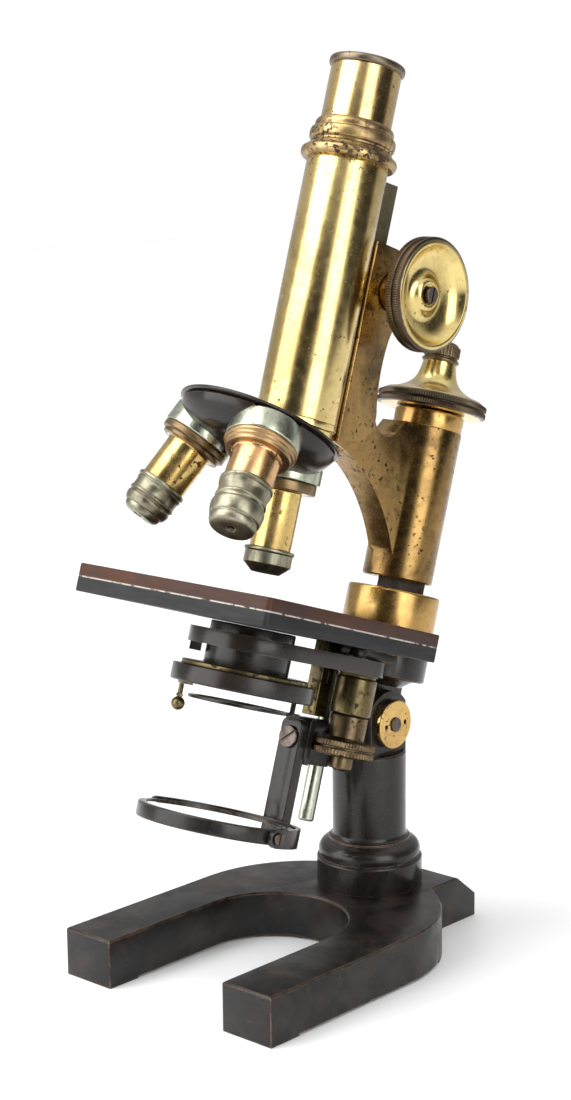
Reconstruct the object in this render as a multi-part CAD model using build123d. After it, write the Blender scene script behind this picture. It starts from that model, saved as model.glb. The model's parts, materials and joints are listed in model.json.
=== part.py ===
from build123d import *
import math
import os

# A brass and black-japanned compound microscope with a horseshoe foot.
# Millimetres. Row frame: origin on the foot's resting plane under the pillar's
# axis, +Z up, the prongs of the horseshoe towards -Y.
# Everything above the inclination joint is drawn upright in its own frame
# (x across, v backwards, u up the tube, zero on the joint's axis) and is then
# leaned back by LEAN about that joint.

os.makedirs("parts", exist_ok=True)

# ---------------------------------------------------------------- driving dimensions
LEAN = 18.0              # how far the limb leans back at rest, degrees
HINGE_Z = 87.6           # height of the inclination joint
RUN = 0.05               # radial clearance of running and sliding fits

FOOT_H = 19.2
PRONG_IN = 30.0          # half the gap between the prongs
PRONG_OUT = 54.0
PRONG_TIP = -118.3
HEEL_HALF = 26.0
HEEL_END = 37.0
FOOT_SCREW_X = 11.0

EAR_X = 10.5             # outer faces of the pillar's ears
TONGUE_X = 5.0           # half thickness of the limb's tongue
PIN_R = 4.0

OPTIC_V = -79.2          # optical axis, v
STAGE_HALF = 49.5
STAGE_FRONT = -128.5
STAGE_BACK = -28.0
STAGE_LOW = 27.0
STAGE_SEAM = 32.8
STAGE_TOP = 37.8
APERTURE_R = 13.0
STAGE_SCREW_X = 6.5
STAGE_SCREW_V = -31.2

POST_SIDE = 20.5         # triangular prism of the fine adjustment
SLEEVE_R = 14.4
SLEEVE_LOW = 57.5
SLEEVE_TOP = 120.0

TUBE_R = 15.75
TUBE_LOW = 105.0
TUBE_TOP = 207.0
TUBE_END = 100.6         # lower face of the turned end under the tube
DRAW_R = 13.7
DRAW_LOW = 150.0
DRAW_TOP = 244.0

PINION_V = -48.5
PINION_U = 165.0
MODULE = 0.6
PINION_TEETH = 16
GEAR_HALF = 3.2
KNOB_X = 30.0            # outer faces of the coarse knobs
KNOB_R = 22.2
FINE_R = 22.4            # rim of the fine focus knob

APEX_U = 167.6           # where the objectives' axes meet the nosepiece's axis
NOSE_LEAN = 14.7
NOSE_TURN = -6.0
SHIELD_R = 32.0
SHIELD_AT = -69.0        # heights on the nosepiece are measured from the apex
SOCKET_R = 14.0
SOCKET_TOP = -75.6
SOCKET_LOW = -84.0
BARREL_TOP = -77.4
STATION_NEAR = 2         # station 0 is the one in use
STATION_FAR = 1

GUIDE_HALF = 3.25        # half width of the substage guide bar
GUIDE_FRONT = -38.6
GUIDE_BACK = -31.1
ROD_X = -6.0
ROD_V = -19.7
ROD_R = 3.25
SCREW_X = 12.0
SCREW_V = -27.3
SCREW_R = 3.0
MIRROR_U = -48.0
MIRROR_R = 30.0
FORK_GAP = 0.6          # between the mirror's ring and the fork
FORK_WALL = 1.9
GLASS_R = 27.9           # mirror glasses
BAR_FRONT = -46.5
BAR_BACK = -41.5
BAR_PIVOT_U = -12.0

LIMB = Location((0, 0, HINGE_Z), (-LEAN, 0, 0))
APEX = Vector(0, OPTIC_V, APEX_U)


# ---------------------------------------------------------------- shared shapes
def face_of(path):
    """Closed face from a path: a pair is a straight run, two pairs an arc."""
    edges = []
    start = path[0]
    for step in path[1:] + [path[0]]:
        if isinstance(step[0], tuple):
            edges.append(ThreePointArc(start, step[0], step[1]))
            start = step[1]
        else:
            edges.append(Line(start, step))
            start = step
    return make_face(edges)


def turned(path):
    """Solid of revolution about Z from a path of (radius, height)."""
    return revolve(Plane.XZ * face_of(path), axis=Axis.Z)


def cap(r, edge_z, top_z):
    """Arc step that closes a turned outline with a spherical cap ending on the axis."""
    rise = top_z - edge_z
    radius = (r * r + rise * rise) / (2 * rise)
    drop = radius - math.copysign(math.sqrt(radius * radius - r * r / 4), radius)
    return ((r / 2, top_z - drop), (0, top_z))


def side_plate(path, half):
    """Plate with a side outline of (v, u), centred on x = 0."""
    return extrude(Plane.YZ * face_of(path), amount=half, both=True)


def rod(r, low, high, x=0.0, y=0.0):
    return Pos(x, y, low) * Cylinder(r, high - low, align=(Align.CENTER, Align.CENTER, Align.MIN))


def pipe(r_out, r_in, low, high, x=0.0, y=0.0):
    return rod(r_out, low, high, x, y) - rod(r_in, low - 1, high + 1, x, y)


def rod_x(r, x0, x1, y=0.0, z=0.0):
    return Pos(x0, y, z) * Rot(0, 90, 0) * rod(r, 0, x1 - x0)


def rod_y(r, y0, y1, x=0.0, z=0.0):
    return Pos(x, y0, z) * Rot(-90, 0, 0) * rod(r, 0, y1 - y0)


def block(x0, x1, y0, y1, z0, z1):
    return Pos(x0, y0, z0) * Box(x1 - x0, y1 - y0, z1 - z0, align=(Align.MIN,) * 3)


def star(r, depth, count):
    """Section of a straight knurl: a ring of small pointed teeth."""
    points = []
    for i in range(2 * count):
        a = math.pi * i / count
        rad = r if i % 2 == 0 else r - depth
        points.append((rad * math.cos(a), rad * math.sin(a)))
    return make_face(Polyline(*points, close=True))


def knurl(r, low, high, count, depth=0.35, bore=0.0):
    """Knurled disc, or a knurled ring when it has a bore."""
    disc = Pos(0, 0, low) * extrude(star(r, depth, count), amount=high - low)
    if bore > 0:
        disc -= rod(bore, low - 1, high + 1)
    return disc


def slotted_head(r, height, slot=0.6):
    """Cheese head standing on z = 0, with a screwdriver slot across X."""
    head = turned([(0, 0), (r, 0), (r, height - 0.25), (r - 0.25, height), (0, height)])
    return head - block(-r, r, -slot / 2, slot / 2, height - 0.5 * height, height + 1)


def hull_plate(circles, low, high):
    """Plate round a set of discs (x, y, r): the discs and the strips that join them."""
    plan = Sketch()
    for x, y, r in circles:
        plan += Pos(x, y) * Circle(r)
    for i in range(len(circles)):
        x0, y0, r0 = circles[i]
        x1, y1, r1 = circles[(i + 1) % len(circles)]
        run = math.hypot(x1 - x0, y1 - y0)
        turn = math.atan2(y1 - y0, x1 - x0)
        spread = math.acos((r0 - r1) / run)
        corners = []
        for x, y, r, side in ((x0, y0, r0, 1), (x1, y1, r1, 1), (x1, y1, r1, -1), (x0, y0, r0, -1)):
            a = turn + side * spread
            corners.append((x + r * math.cos(a), y + r * math.sin(a)))
        plan += make_face(Polyline(*corners, close=True))
    return Pos(0, 0, low) * extrude(plan, amount=high - low)


PARTS = {}


def keep(name, shape):
    PARTS[name] = shape


def keep_leaned(name, shape):
    keep(name, LIMB * shape)


# ---------------------------------------------------------------- foot and pillar
def make_foot():
    bend_y = PRONG_TIP + 79.3
    inner_y = bend_y - 20.5
    plan = Pos(0, bend_y) * Circle(PRONG_OUT)
    plan += Pos(0, (PRONG_TIP + bend_y) / 2) * Rectangle(2 * PRONG_OUT, bend_y - PRONG_TIP)
    plan -= Pos(0, inner_y) * Circle(PRONG_IN)
    plan -= Pos(0, (PRONG_TIP - 1 + inner_y) / 2) * Rectangle(2 * PRONG_IN, inner_y - PRONG_TIP + 1)
    plan += Pos(0, HEEL_END / 2) * Rectangle(2 * HEEL_HALF, HEEL_END)
    foot = extrude(plan, amount=FOOT_H)
    upright = [e for e in foot.edges().filter_by(Axis.Z)
               if abs(abs(e.center().X) - HEEL_HALF) < 0.5 and 4 < e.center().Y < 12]
    foot = fillet(upright, 4.0)
    slope = face_of([(HEEL_END - 12, FOOT_H), (HEEL_END + 1, 8.7), (HEEL_END + 1, FOOT_H + 1),
                     (HEEL_END - 12, FOOT_H + 1)])
    foot -= extrude(Plane.YZ * slope, amount=HEEL_HALF + 1, both=True)
    top = foot.faces().sort_by(Axis.Z)[-1]
    foot = chamfer(top.edges(), 0.7)
    pad_gap = block(-60, 60, PRONG_TIP + 15, -15, -1, 0.9)
    foot -= pad_gap
    for x in (-FOOT_SCREW_X, FOOT_SCREW_X):
        foot -= rod(4.2, -1, 4.5, x)
        foot -= rod(2.5, 4.5, FOOT_H + 1, x)
    return foot


def make_foot_screws():
    group = []
    for x in (-FOOT_SCREW_X, FOOT_SCREW_X):
        head = Pos(x, 0, 4.5) * Rot(180, 0, 0) * slotted_head(4.0, 2.6, 1.0)
        group.append(head + rod(2.5, 4.5, FOOT_H + 7, x))
    return Compound(children=group)


def make_pillar():
    column = turned([
        (0, FOOT_H), (21.5, FOOT_H), (21.5, 29.6), ((21.3, 30.6), (20.4, 30.9)), (20.4, 31.5),
        ((20.6, 34.6), (18.6, 37.2)), (16.6, 38.3), (16.6, 39.1), ((15.4, 39.8), (15.0, 41.5)),
        (15.0, 74.2), (14.4, 75.0), (0, 75.0)])
    ear_r = 13.0
    crown = ((0, HINGE_Z + ear_r), (-ear_r, HINGE_Z))
    head = side_plate([(-ear_r, 70), (ear_r, 70), (ear_r, HINGE_Z), crown], EAR_X)
    head = head & rod(15.0, 69, 110)
    pillar = column + head
    slot_low = HINGE_Z - 12.4
    pillar -= block(-TONGUE_X - 0.1, TONGUE_X + 0.1, -20, 20, slot_low, 110)
    pillar -= rod_x(PIN_R, -20, 20, 0, HINGE_Z)
    for x in (-FOOT_SCREW_X, FOOT_SCREW_X):
        pillar -= rod(2.5, FOOT_H - 1, FOOT_H + 7, x)
    return pillar


def make_hinge_bolt():
    bolt = rod_x(PIN_R, -12, 12, 0, HINGE_Z)
    bolt += rod_x(2.8, -14.6, 14.6, 0, HINGE_Z)
    return bolt


def make_hinge_nut(side):
    """Round brass nut with two spanner holes, on one end of the hinge bolt."""
    face = 14.15
    nut = turned([(0, EAR_X), (9.2, EAR_X), (9.2, 12.0), (9.9, 12.3), (9.9, face - 0.5),
                  ((9.7, face - 0.1), (9.3, face)), (0, face)])
    nut -= rod(PIN_R, EAR_X - 1, 12.0)
    nut -= rod(2.8, 11, face + 1)
    for s in (-1, 1):
        nut -= rod(0.9, face - 1.6, face + 1, 0, s * 5.8)
    return Pos(0, 0, HINGE_Z) * Rot(0, 90 * side, 0) * nut


# ---------------------------------------------------------------- limb and stage
def prism(low, high, grow=0.0):
    """Triangular prism on the sleeve's axis, one edge to the front."""
    r = POST_SIDE / math.sqrt(3) + 2 * grow
    corners = []
    for k in range(3):
        a = math.radians(120 * k - 90)
        corners.append((r * math.cos(a), r * math.sin(a)))
    return Pos(0, 0, low) * extrude(make_face(Polyline(*corners, close=True)), amount=high - low)


def make_limb():
    tongue_r = 11.2
    tongue = rod_x(tongue_r, -TONGUE_X, TONGUE_X)
    tongue += block(-TONGUE_X, TONGUE_X, -tongue_r, tongue_r, 0, 15)
    body = turned([(0, 14.5), (10.0, 14.5), (14.6, 17.8), (18.2, 17.8), (18.9, 18.5), (18.9, 33.0),
                   (0, 33.0)])
    shelf = block(-10, 16, -34, 0, 23.6, STAGE_LOW)
    corners = shelf.edges().filter_by(Axis.Z).sort_by(Axis.Y)[:2]
    far, near = corners.sort_by(Axis.X)
    shelf = fillet([far], 8.0)
    near = shelf.edges().filter_by(Axis.Z).filter_by(lambda e: e.center().X > 15 and e.center().Y < -33)
    shelf = fillet(near, 5.0)
    limb = tongue + body + shelf
    limb -= rod_x(PIN_R + RUN, -10, 10)
    limb -= prism(22, 34)
    limb -= rod(SCREW_R + RUN, 20, 30, SCREW_X, SCREW_V)
    limb -= block(-GUIDE_HALF, GUIDE_HALF, GUIDE_FRONT, GUIDE_BACK, 20, 30)
    limb -= rod(ROD_R, 10, 30, ROD_X, ROD_V)
    return limb


def make_limb_collar():
    collar = turned([(0, 33.0), (18.9, 33.0), (18.9, 52.2), (18.3, 53.0), (0, 53.0)])
    return collar - prism(32, 54)


def stage_layer(low, high, chip):
    plan = RectangleRounded(2 * STAGE_HALF, STAGE_BACK - STAGE_FRONT, 2.5)
    plan = Pos(0, (STAGE_FRONT + STAGE_BACK) / 2) * plan
    plan -= Pos(0, OPTIC_V) * Circle(APERTURE_R)
    layer = Pos(0, 0, low) * extrude(plan, amount=high - low)
    rim = [e for e in layer.edges().group_by(Axis.Z)[chip] if e.length > 20]
    return chamfer(rim, 0.35)


def make_stage_plate():
    plate = stage_layer(STAGE_LOW, STAGE_SEAM, 0)
    plate -= rod(SCREW_R + 0.4, STAGE_LOW - 1, STAGE_SEAM - 0.6, SCREW_X, SCREW_V)
    for x in (-STAGE_SCREW_X, STAGE_SCREW_X):
        plate -= rod(1.6, STAGE_LOW - 1, STAGE_SEAM - 1.2, x, STAGE_SCREW_V)
    return plate


def make_stage_screws():
    """Two screws up through the limb's shelf into the stage."""
    group = []
    for x in (-STAGE_SCREW_X, STAGE_SCREW_X):
        group.append(rod(1.6, STAGE_LOW, STAGE_SEAM - 1.2, x, STAGE_SCREW_V))
    return Compound(children=group)


def make_substage_guide():
    guide = block(-GUIDE_HALF, GUIDE_HALF, GUIDE_FRONT, GUIDE_BACK, -2.4, STAGE_LOW)
    guide = chamfer(guide.edges().filter_by(Axis.Z), 0.4)
    return guide - block(GUIDE_HALF - 1.2, GUIDE_HALF + 1, GUIDE_FRONT + 1.8, GUIDE_BACK - 1.8, 10.5, 16)


def make_mirror_rod():
    return turned([(0, -44.6), (2.6, -44.6), (ROD_R, -44.0), (ROD_R, STAGE_LOW), (0, STAGE_LOW)]
                  ).moved(Pos(ROD_X, ROD_V, 0))


def make_mirror_carrier():
    """Black block clamped on the rod; the mirror's bar hangs from its front."""
    low = -22.0
    high = -3.6
    front = BAR_BACK + 0.1
    step = front + 3.2
    nose = side_plate([(step, low), (step, high), (front + 2.4, high), ((front + 0.6, high - 0.8),
                                                                        (front, high - 2.8)),
                       (front, low + 3), ((front + 0.8, low + 0.8), (front + 2.6, low))], 5.2)
    strip = block(ROD_X - 3.6, ROD_X + 4.6, step, ROD_V, low, high)
    body = nose + strip + rod(4.6, low, high, ROD_X, ROD_V)
    body -= rod(ROD_R, low - 5, high + 5, ROD_X, ROD_V)
    body -= rod_y(1.9, front - 1, front + 9, 0, BAR_PIVOT_U)
    return body


# ---------------------------------------------------------------- arm and fine adjustment
BOX_FRONT = -62.4
BOX_BACK = -41.0
BOX_HALF = 8.0
BOX_LOW = 103.0
BOX_TOP = 182.0
SLIDE_NECK = 3.6         # half width of the dovetail at the box's face
SLIDE_WIDE = 5.2
SLIDE_DEEP = -53.6       # back face of the slide's dovetail
TEETH_HALF = 3.4         # half width of the rack's teeth
PITCH_R = MODULE * PINION_TEETH / 2


def dovetail(low, high, gap=0.0):
    neck = SLIDE_NECK + gap
    wide = SLIDE_WIDE + gap
    front = BOX_FRONT - 1
    plan = make_face(Polyline((-neck, front), (neck, front), (neck, BOX_FRONT), (wide, SLIDE_DEEP + gap),
                              (-wide, SLIDE_DEEP + gap), (-neck, BOX_FRONT), close=True))
    return Pos(0, 0, low) * extrude(plan, amount=high - low)


def make_arm():
    web = side_plate([
        (0, 66.5), (-13.6, 66.5), ((-28.0, 85.5), (BOX_FRONT, BOX_LOW)), (BOX_FRONT, BOX_TOP - 6),
        (BOX_BACK, BOX_TOP - 6), (BOX_BACK, 158), (-44.6, 147), ((-45.4, 130), (-40.0, 115.5)),
        ((-33.5, 111.0), (-25.0, 114.6)), (-21.5, 119.4), (0, 119.4)], 6.0)
    box = side_plate([
        (BOX_FRONT, BOX_LOW), (BOX_FRONT, BOX_TOP), (-50.5, BOX_TOP), ((-43.8, 179.2), (BOX_BACK, 172.5)),
        (BOX_BACK, 158), (-44.2, 147), ((-45.0, 132), (-43.2, 120)), ((-46.5, 107.5), (-50, BOX_LOW + 2.5))],
        BOX_HALF)
    box = fillet(box.edges().filter_by(Axis.Z).filter_by(lambda e: e.center().Y < BOX_FRONT + 0.1), 1.2)
    sleeve = turned([(0, SLEEVE_LOW), (SLEEVE_R - 0.6, SLEEVE_LOW), (SLEEVE_R, SLEEVE_LOW + 0.6),
                     (SLEEVE_R, SLEEVE_TOP - 0.2), (SLEEVE_R - 0.2, SLEEVE_TOP), (0, SLEEVE_TOP)])
    arm = web + box + sleeve
    arm -= prism(SLEEVE_LOW - 1, 109.8, RUN)
    arm -= rod(9.0, 109.8, SLEEVE_TOP + 1)
    arm -= dovetail(BOX_LOW - 10, BOX_TOP + 10, RUN)
    room = TEETH_HALF + 0.4
    arm -= block(-room, room, SLIDE_DEEP - 0.5, SLIDE_DEEP + 1.2, BOX_LOW - 10, BOX_TOP + 10)
    arm -= rod_x(PITCH_R + MODULE + 0.5, -room, room, PINION_V, PINION_U)
    arm -= rod_x(3.0 + RUN, -20, 20, PINION_V, PINION_U)
    return arm


def make_arm_cap():
    """Bearing bush screwed into the top of the sleeve for the micrometer screw."""
    cap = turned([(0, 117.0), (9.0, 117.0), (9.0, SLEEVE_TOP), (14.2, SLEEVE_TOP), (14.2, 126.4),
                  (13.6, 127.0), (0, 127.0)])
    return cap - rod(3.0 + RUN, 116, 128)


def make_fine_spring():
    wire = 0.5
    path = Helix(pitch=1.9, height=5.7, radius=5.4)
    start = path @ 0
    coil = sweep(Plane(start, z_dir=path % 0) * Circle(wire), path=path)
    return Pos(0, 0, 110.6) * coil


def make_micrometer_screw():
    return turned([(0, 110.3), (1.4, 110.3), (3.0, 111.8), (3.0, 148.0), (0, 148.0)])


def make_fine_knob():
    low = 127.4
    body = turned([
        (0, low), (19.8, low), (20.6, low + 0.4), (20.6, 133.2), (19.8, 134.0),
        ((12.8, 136.9), (8.2, 142.0)), ((6.9, 144.6), (6.4, 148.0)), (0, 148.0)])
    body += knurl(FINE_R, low + 0.3, low + 2.7, 140)
    body += knurl(FINE_R, low + 3.2, low + 5.6, 140)
    return body - rod(3.0, low - 1, 149)


def make_fine_cap():
    cap = turned([(0, 148.0), (7.6, 148.0), (7.6, 149.2), (6.6, 149.8), (6.6, 155.0), ((5.6, 156.3),
                                                                                       (3.6, 156.7)),
                  (0, 156.7)])
    return cap + knurl(7.4, 150.2, 154.6, 36, 0.35)


# ---------------------------------------------------------------- coarse adjustment
RACK_PITCH = math.pi * MODULE


def make_rack_slide():
    low = 106.0
    high = 206.0
    bar = block(-4.4, 4.4, OPTIC_V + TUBE_R - 1.6, BOX_FRONT - 0.1, low, high)
    bar -= rod(TUBE_R, low - 1, high + 1, 0, OPTIC_V)
    bar = bar + dovetail(low, high)
    pitch_v = PINION_V - PITCH_R
    count = int((high - low) / RACK_PITCH) + 2
    gaps = []
    for k in range(-count, count):
        u = PINION_U + k * RACK_PITCH
        if not low + 2 < u < high - 2:
            continue
        half_low = 0.36
        half_top = 0.66
        gaps.append(side_plate([(pitch_v - 0.75, u - half_low), (pitch_v + 2, u - half_top - 0.4),
                                (pitch_v + 2, u + half_top + 0.4), (pitch_v - 0.75, u + half_low)],
                               TEETH_HALF + 0.2))
    teeth = block(-TEETH_HALF, TEETH_HALF, SLIDE_DEEP - 0.5, pitch_v + 0.5, low, high)
    bar = bar + teeth
    bar -= Compound(children=gaps)
    return bar


def make_pinion():
    root = PITCH_R - 0.7
    tip = PITCH_R + 0.42
    gear = rod(root, -GEAR_HALF, GEAR_HALF)
    for k in range(PINION_TEETH):
        tooth = make_face(Polyline((root - 0.5, -0.48), (PITCH_R, -0.31), (tip, -0.13), (tip, 0.13),
                                   (PITCH_R, 0.31), (root - 0.5, 0.48), close=True))
        tooth = extrude(tooth, amount=GEAR_HALF, both=True)
        gear += Rot(0, 0, 180 + k * 360 / PINION_TEETH) * tooth
    shaft = rod(3.0, -26.5, 26.5)
    lying = Rot(0, 90, 0) * (gear + shaft)
    return Pos(0, PINION_V, PINION_U) * Rot(90, 0, 0) * lying


def make_coarse_knob(side):
    rim_low = KNOB_X - 7.3
    body = turned([
        (0, BOX_HALF + 0.4), (7.4, BOX_HALF + 0.4), (7.4, 13.6), ((7.2, 18.2), (10.8, 20.6)),
        (20.4, rim_low), (21.3, rim_low + 0.3), (21.3, KNOB_X - 0.8),
        ((21.0, KNOB_X - 0.2), (20.3, KNOB_X)), (19.2, KNOB_X),
        ((13.7, KNOB_X - 4.6), (7.3, KNOB_X - 5.6)), (6.4, KNOB_X - 5.4), (5.4, KNOB_X - 3.0),
        (4.6, KNOB_X - 2.6),
        (0, KNOB_X - 2.6)])
    body += knurl(KNOB_R, rim_low + 0.4, rim_low + 3.2, 140, bore=20.0)
    body += knurl(KNOB_R, rim_low + 3.9, rim_low + 6.7, 140, bore=20.0)
    body -= rod(3.0, 0, 26.5)
    body -= rod(1.5, 20, KNOB_X)
    return Pos(0, PINION_V, PINION_U) * Rot(0, 90 * side, 0) * body


def make_coarse_knob_screws():
    group = []
    for side in (-1, 1):
        screw = Pos(0, 0, KNOB_X - 2.6) * slotted_head(3.2, 1.6, 0.8) + rod(1.5, 26.5, KNOB_X - 2.6)
        group.append(Pos(0, PINION_V, PINION_U) * Rot(0, 90 * side, 0) * screw)
    return Compound(children=group)


# ---------------------------------------------------------------- body tube and eyepiece
def on_optic(shape):
    return Pos(0, OPTIC_V, 0) * shape


def make_main_tube():
    tube = pipe(TUBE_R, TUBE_R - 1.2, TUBE_LOW, TUBE_TOP)
    end = turned([(9.5, TUBE_END), (14.2, TUBE_END), (14.6, TUBE_END + 0.4), (14.6, 104.4),
                  (TUBE_R - 0.2, TUBE_LOW),
                  (TUBE_R - 0.2, TUBE_LOW + 1.0), (9.5, TUBE_LOW + 1.0)])
    return on_optic(tube + end)


def make_tube_collar():
    ring = turned([
        (DRAW_R + RUN, TUBE_TOP), (17.2, TUBE_TOP), ((17.9, TUBE_TOP + 0.3), (18.1, TUBE_TOP + 0.9)),
        ((18.7, TUBE_TOP + 2.2), (18.1, TUBE_TOP + 3.5)), ((17.4, TUBE_TOP + 4.8),
                                                           (16.2, TUBE_TOP + 5.6)),
        (15.6, TUBE_TOP + 6.2), (DRAW_R + RUN, TUBE_TOP + 6.2)])
    spigot = pipe(TUBE_R - 1.2, DRAW_R + RUN, TUBE_TOP - 8, TUBE_TOP + 0.5)
    return on_optic(ring + spigot)


def make_tube_ring():
    low = TUBE_TOP + 6.2
    ring = turned([
        (DRAW_R + RUN, low), (15.7, low), (15.7, low + 0.8), ((16.6, low + 1.6), (16.7, low + 2.6)),
        ((16.7, low + 4.4), (16.1, low + 5.4)), (15.4, low + 5.8), (15.4, low + 6.4),
        ((15.6, low + 7.6), (15.0, low + 8.6)), (14.5, low + 9.4), (DRAW_R + RUN, low + 9.4)])
    return on_optic(ring)


def make_draw_tube():
    return on_optic(pipe(DRAW_R, DRAW_R - 0.8, DRAW_LOW, DRAW_TOP))


def make_eyepiece_shell():
    inner = DRAW_R - 0.8 - RUN
    shell = turned([
        (inner - 0.9, 214.0), (inner, 214.0), (inner, DRAW_TOP), (14.2, DRAW_TOP), ((14.8, 245.6),
                                                                                    (14.3, 247.0)),
        (12.4, 247.3), ((9.0, 246.2), (6.4, 244.4)), (5.6, 243.6), (5.6, 241.6), (inner - 0.9, 241.6)])
    return on_optic(shell)


def make_eyepiece_lenses():
    inner = DRAW_R - 0.8 - RUN - 0.9
    eye = turned([(0, 239.6), (6.8, 239.6), (6.8, 241.6), (5.6, 241.6), cap(5.6, 241.6, 242.9)])
    eye += pipe(inner, 6.8, 239.6, 241.6)
    field = turned([(0, 214.6), (inner, 214.6), (inner, 216.4), cap(inner, 216.4, 218.6)])
    return on_optic(Compound(children=[eye, field]))


# ---------------------------------------------------------------- nosepiece and objectives
NOSE_UP = Vector(math.sin(math.radians(NOSE_LEAN)) * -math.sin(math.radians(NOSE_TURN)),
                 math.sin(math.radians(NOSE_LEAN)) * math.cos(math.radians(NOSE_TURN)),
                 math.cos(math.radians(NOSE_LEAN)))
NOSE_AXIS = Axis(APEX, NOSE_UP)
NOSE_PLANE = Plane(origin=APEX, x_dir=Vector(1, 0, 0).cross(NOSE_UP).cross(NOSE_UP) * -1, z_dir=NOSE_UP)
PIVOT_R = 3.0


def on_nose(shape):
    return NOSE_PLANE.location * shape


def at_station(shape, k):
    """Turn a piece drawn on the optical axis (z = 0 at the apex) to station k."""
    return (Pos(0, OPTIC_V, APEX_U) * shape).rotate(NOSE_AXIS, 120 * k)


def make_shield():
    edge = SHIELD_R - 1.0
    brim = SHIELD_AT + 1.3
    disc = turned([(0, SHIELD_AT - 0.2), (SHIELD_R - 0.9, SHIELD_AT - 0.2), (SHIELD_R, SHIELD_AT + 0.3),
                   ((SHIELD_R - 0.2, SHIELD_AT + 1.0), (edge, brim)), cap(edge, brim, SHIELD_AT + 4.2)])
    disc = on_nose(disc)
    boss = on_optic(rod(14.0, 85, TUBE_END)) & on_nose(block(-60, 60, -60, 60, SHIELD_AT, SHIELD_AT + 50))
    shield = disc + boss
    shield -= on_optic(rod(14.6, TUBE_END, TUBE_LOW) + rod(TUBE_R, TUBE_LOW - 0.6, TUBE_LOW + 10))
    shield -= on_optic(rod(8.4, 70, 110))
    return shield - on_nose(rod(PIVOT_R, SHIELD_AT - 30, SHIELD_AT + 0.6))


def make_nose_pivot():
    """Shouldered screw that holds the revolving dome to the shield."""
    low = SHIELD_AT - 13.9
    screw = rod(PIVOT_R, low, SHIELD_AT + 0.6)
    head = Pos(0, 0, low) * Rot(180, 0, 0) * slotted_head(5.6, 2.0, 1.0)
    return on_nose(screw + head)


def make_dome():
    top = SHIELD_AT - 0.5
    dome = turned([(PIVOT_R + RUN, top), (30.2, top), (30.8, top - 0.8), ((27.5, top - 6.2),
                                                                          (18.0, top - 10.6)),
                   ((11.0, top - 12.5), (PIVOT_R + RUN, top - 12.8))])
    hollow = turned([(PIVOT_R + 3.5, top + 1), (28.0, top + 1), (28.0, top - 1.5), ((24.8, top - 5.4),
                                                                                    (16.5, top - 8.8)),
                     ((11.0, top - 10.4), (PIVOT_R + 3.5, top - 10.6))])
    dome = on_nose(dome - hollow)
    for k in range(3):
        dome -= at_station(rod(SOCKET_R, -96, -60), k)
    return dome


def make_socket():
    lip = SOCKET_TOP - 1.6
    return turned([(10.2, SOCKET_LOW), (SOCKET_R - 0.4, SOCKET_LOW), (SOCKET_R, SOCKET_LOW + 0.5),
                   (SOCKET_R, SOCKET_TOP), (8.6, SOCKET_TOP), (8.6, lip), (10.2, lip)])


def make_sockets():
    return Compound(children=[at_station(make_socket(), k) for k in range(3)])


def barrel(flange, body_r, low):
    """Brass objective barrel: stepped flange, plain body; flange is (radius, depth) pairs."""
    path = [(6.6, BARREL_TOP), (10.2, BARREL_TOP), (10.2, SOCKET_LOW), (flange[0][0] - 0.3, SOCKET_LOW)]
    z = SOCKET_LOW
    for r, depth in flange:
        path += [(r, z - 0.3), (r, z - depth + 0.25), (r - 0.3, z - depth)]
        z -= depth
    path += [(body_r + 0.8, z), ((body_r + 0.2, z - 0.2), (body_r, z - 0.9)), (body_r, low), (6.6, low)]
    return turned(path)


def make_tips():
    low_power = turned([(5.2, -110.6), (9.4, -110.6), (9.7, -111.0), (9.7, -111.8), (9.2, -112.2),
                        (9.2, -116.6),
                        (8.8, -117.0), (5.4, -120.0), (3.4, -120.0), (3.4, -114.0), (5.2, -113.0)])
    high_power = turned([(5.2, -100.8), (9.5, -100.8), (10.1, -101.4), (10.1, -103.0), ((9.6, -103.8),
                                                                                        (9.4, -104.8)),
                         (9.4, -110.4), (9.0, -110.8), (9.0, -111.4), (9.9, -111.9), (9.9, -113.4),
                         ((9.7, -116.8), (8.3, -119.3)), (7.6, -120.0), (2.0, -120.0), (2.0, -113.0),
                         (5.2, -111.0)])
    mid_power = turned([(5.2, -105.2), (9.4, -105.2), (9.9, -105.8), (9.9, -107.2), ((9.35, -107.9),
                                                                                     (9.1, -108.8)),
                        (9.1, -112.6), (8.7, -113.0), (9.2, -113.5), (9.2, -114.8), ((8.6, -117.4),
                                                                                     (6.4, -119.6)),
                        (5.8, -120.0), (2.6, -120.0), (2.6, -114.0), (5.2, -113.0)])
    return low_power, high_power, mid_power


def make_front_lenses():
    group = []
    for k, r, depth in ((0, 3.4, 115.0), (STATION_NEAR, 2.0, 117.0), (STATION_FAR, 2.6, 116.5)):
        group.append(at_station(turned([(0, -119.4), (r, -119.4), (r, -depth), (0, -depth - 0.3)]), k))
    return Compound(children=group)



# ---------------------------------------------------------------- substage
ARM_LOW = 17.2
ARM_HIGH = 23.2
IRIS_LOW = 1.9
IRIS_HIGH = 8.5
IRIS_R = 27.5
COND_R = 16.4


def make_substage_arm():
    lobe_v = (GUIDE_FRONT + GUIDE_BACK) / 2
    arm = hull_plate([(0, OPTIC_V, 23.8), (SCREW_X, SCREW_V, 9.8),
                      (-1.5, lobe_v, 8.0)], ARM_LOW, ARM_HIGH)
    arm -= rod(COND_R, ARM_LOW - 1, ARM_HIGH + 1, 0, OPTIC_V)
    gap = 0.1
    arm -= block(-GUIDE_HALF - gap, GUIDE_HALF + gap, GUIDE_FRONT - gap, GUIDE_BACK + gap, ARM_LOW - 1,
                 ARM_HIGH + 1)
    arm -= rod(SCREW_R + RUN, ARM_LOW - 1, ARM_HIGH + 1, SCREW_X, SCREW_V)
    tab = on_optic(Rot(0, 0, 221) * block(18.0, 22.4, -3.5, 3.5, ARM_LOW - 3.2, ARM_LOW))
    return arm + tab


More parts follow.
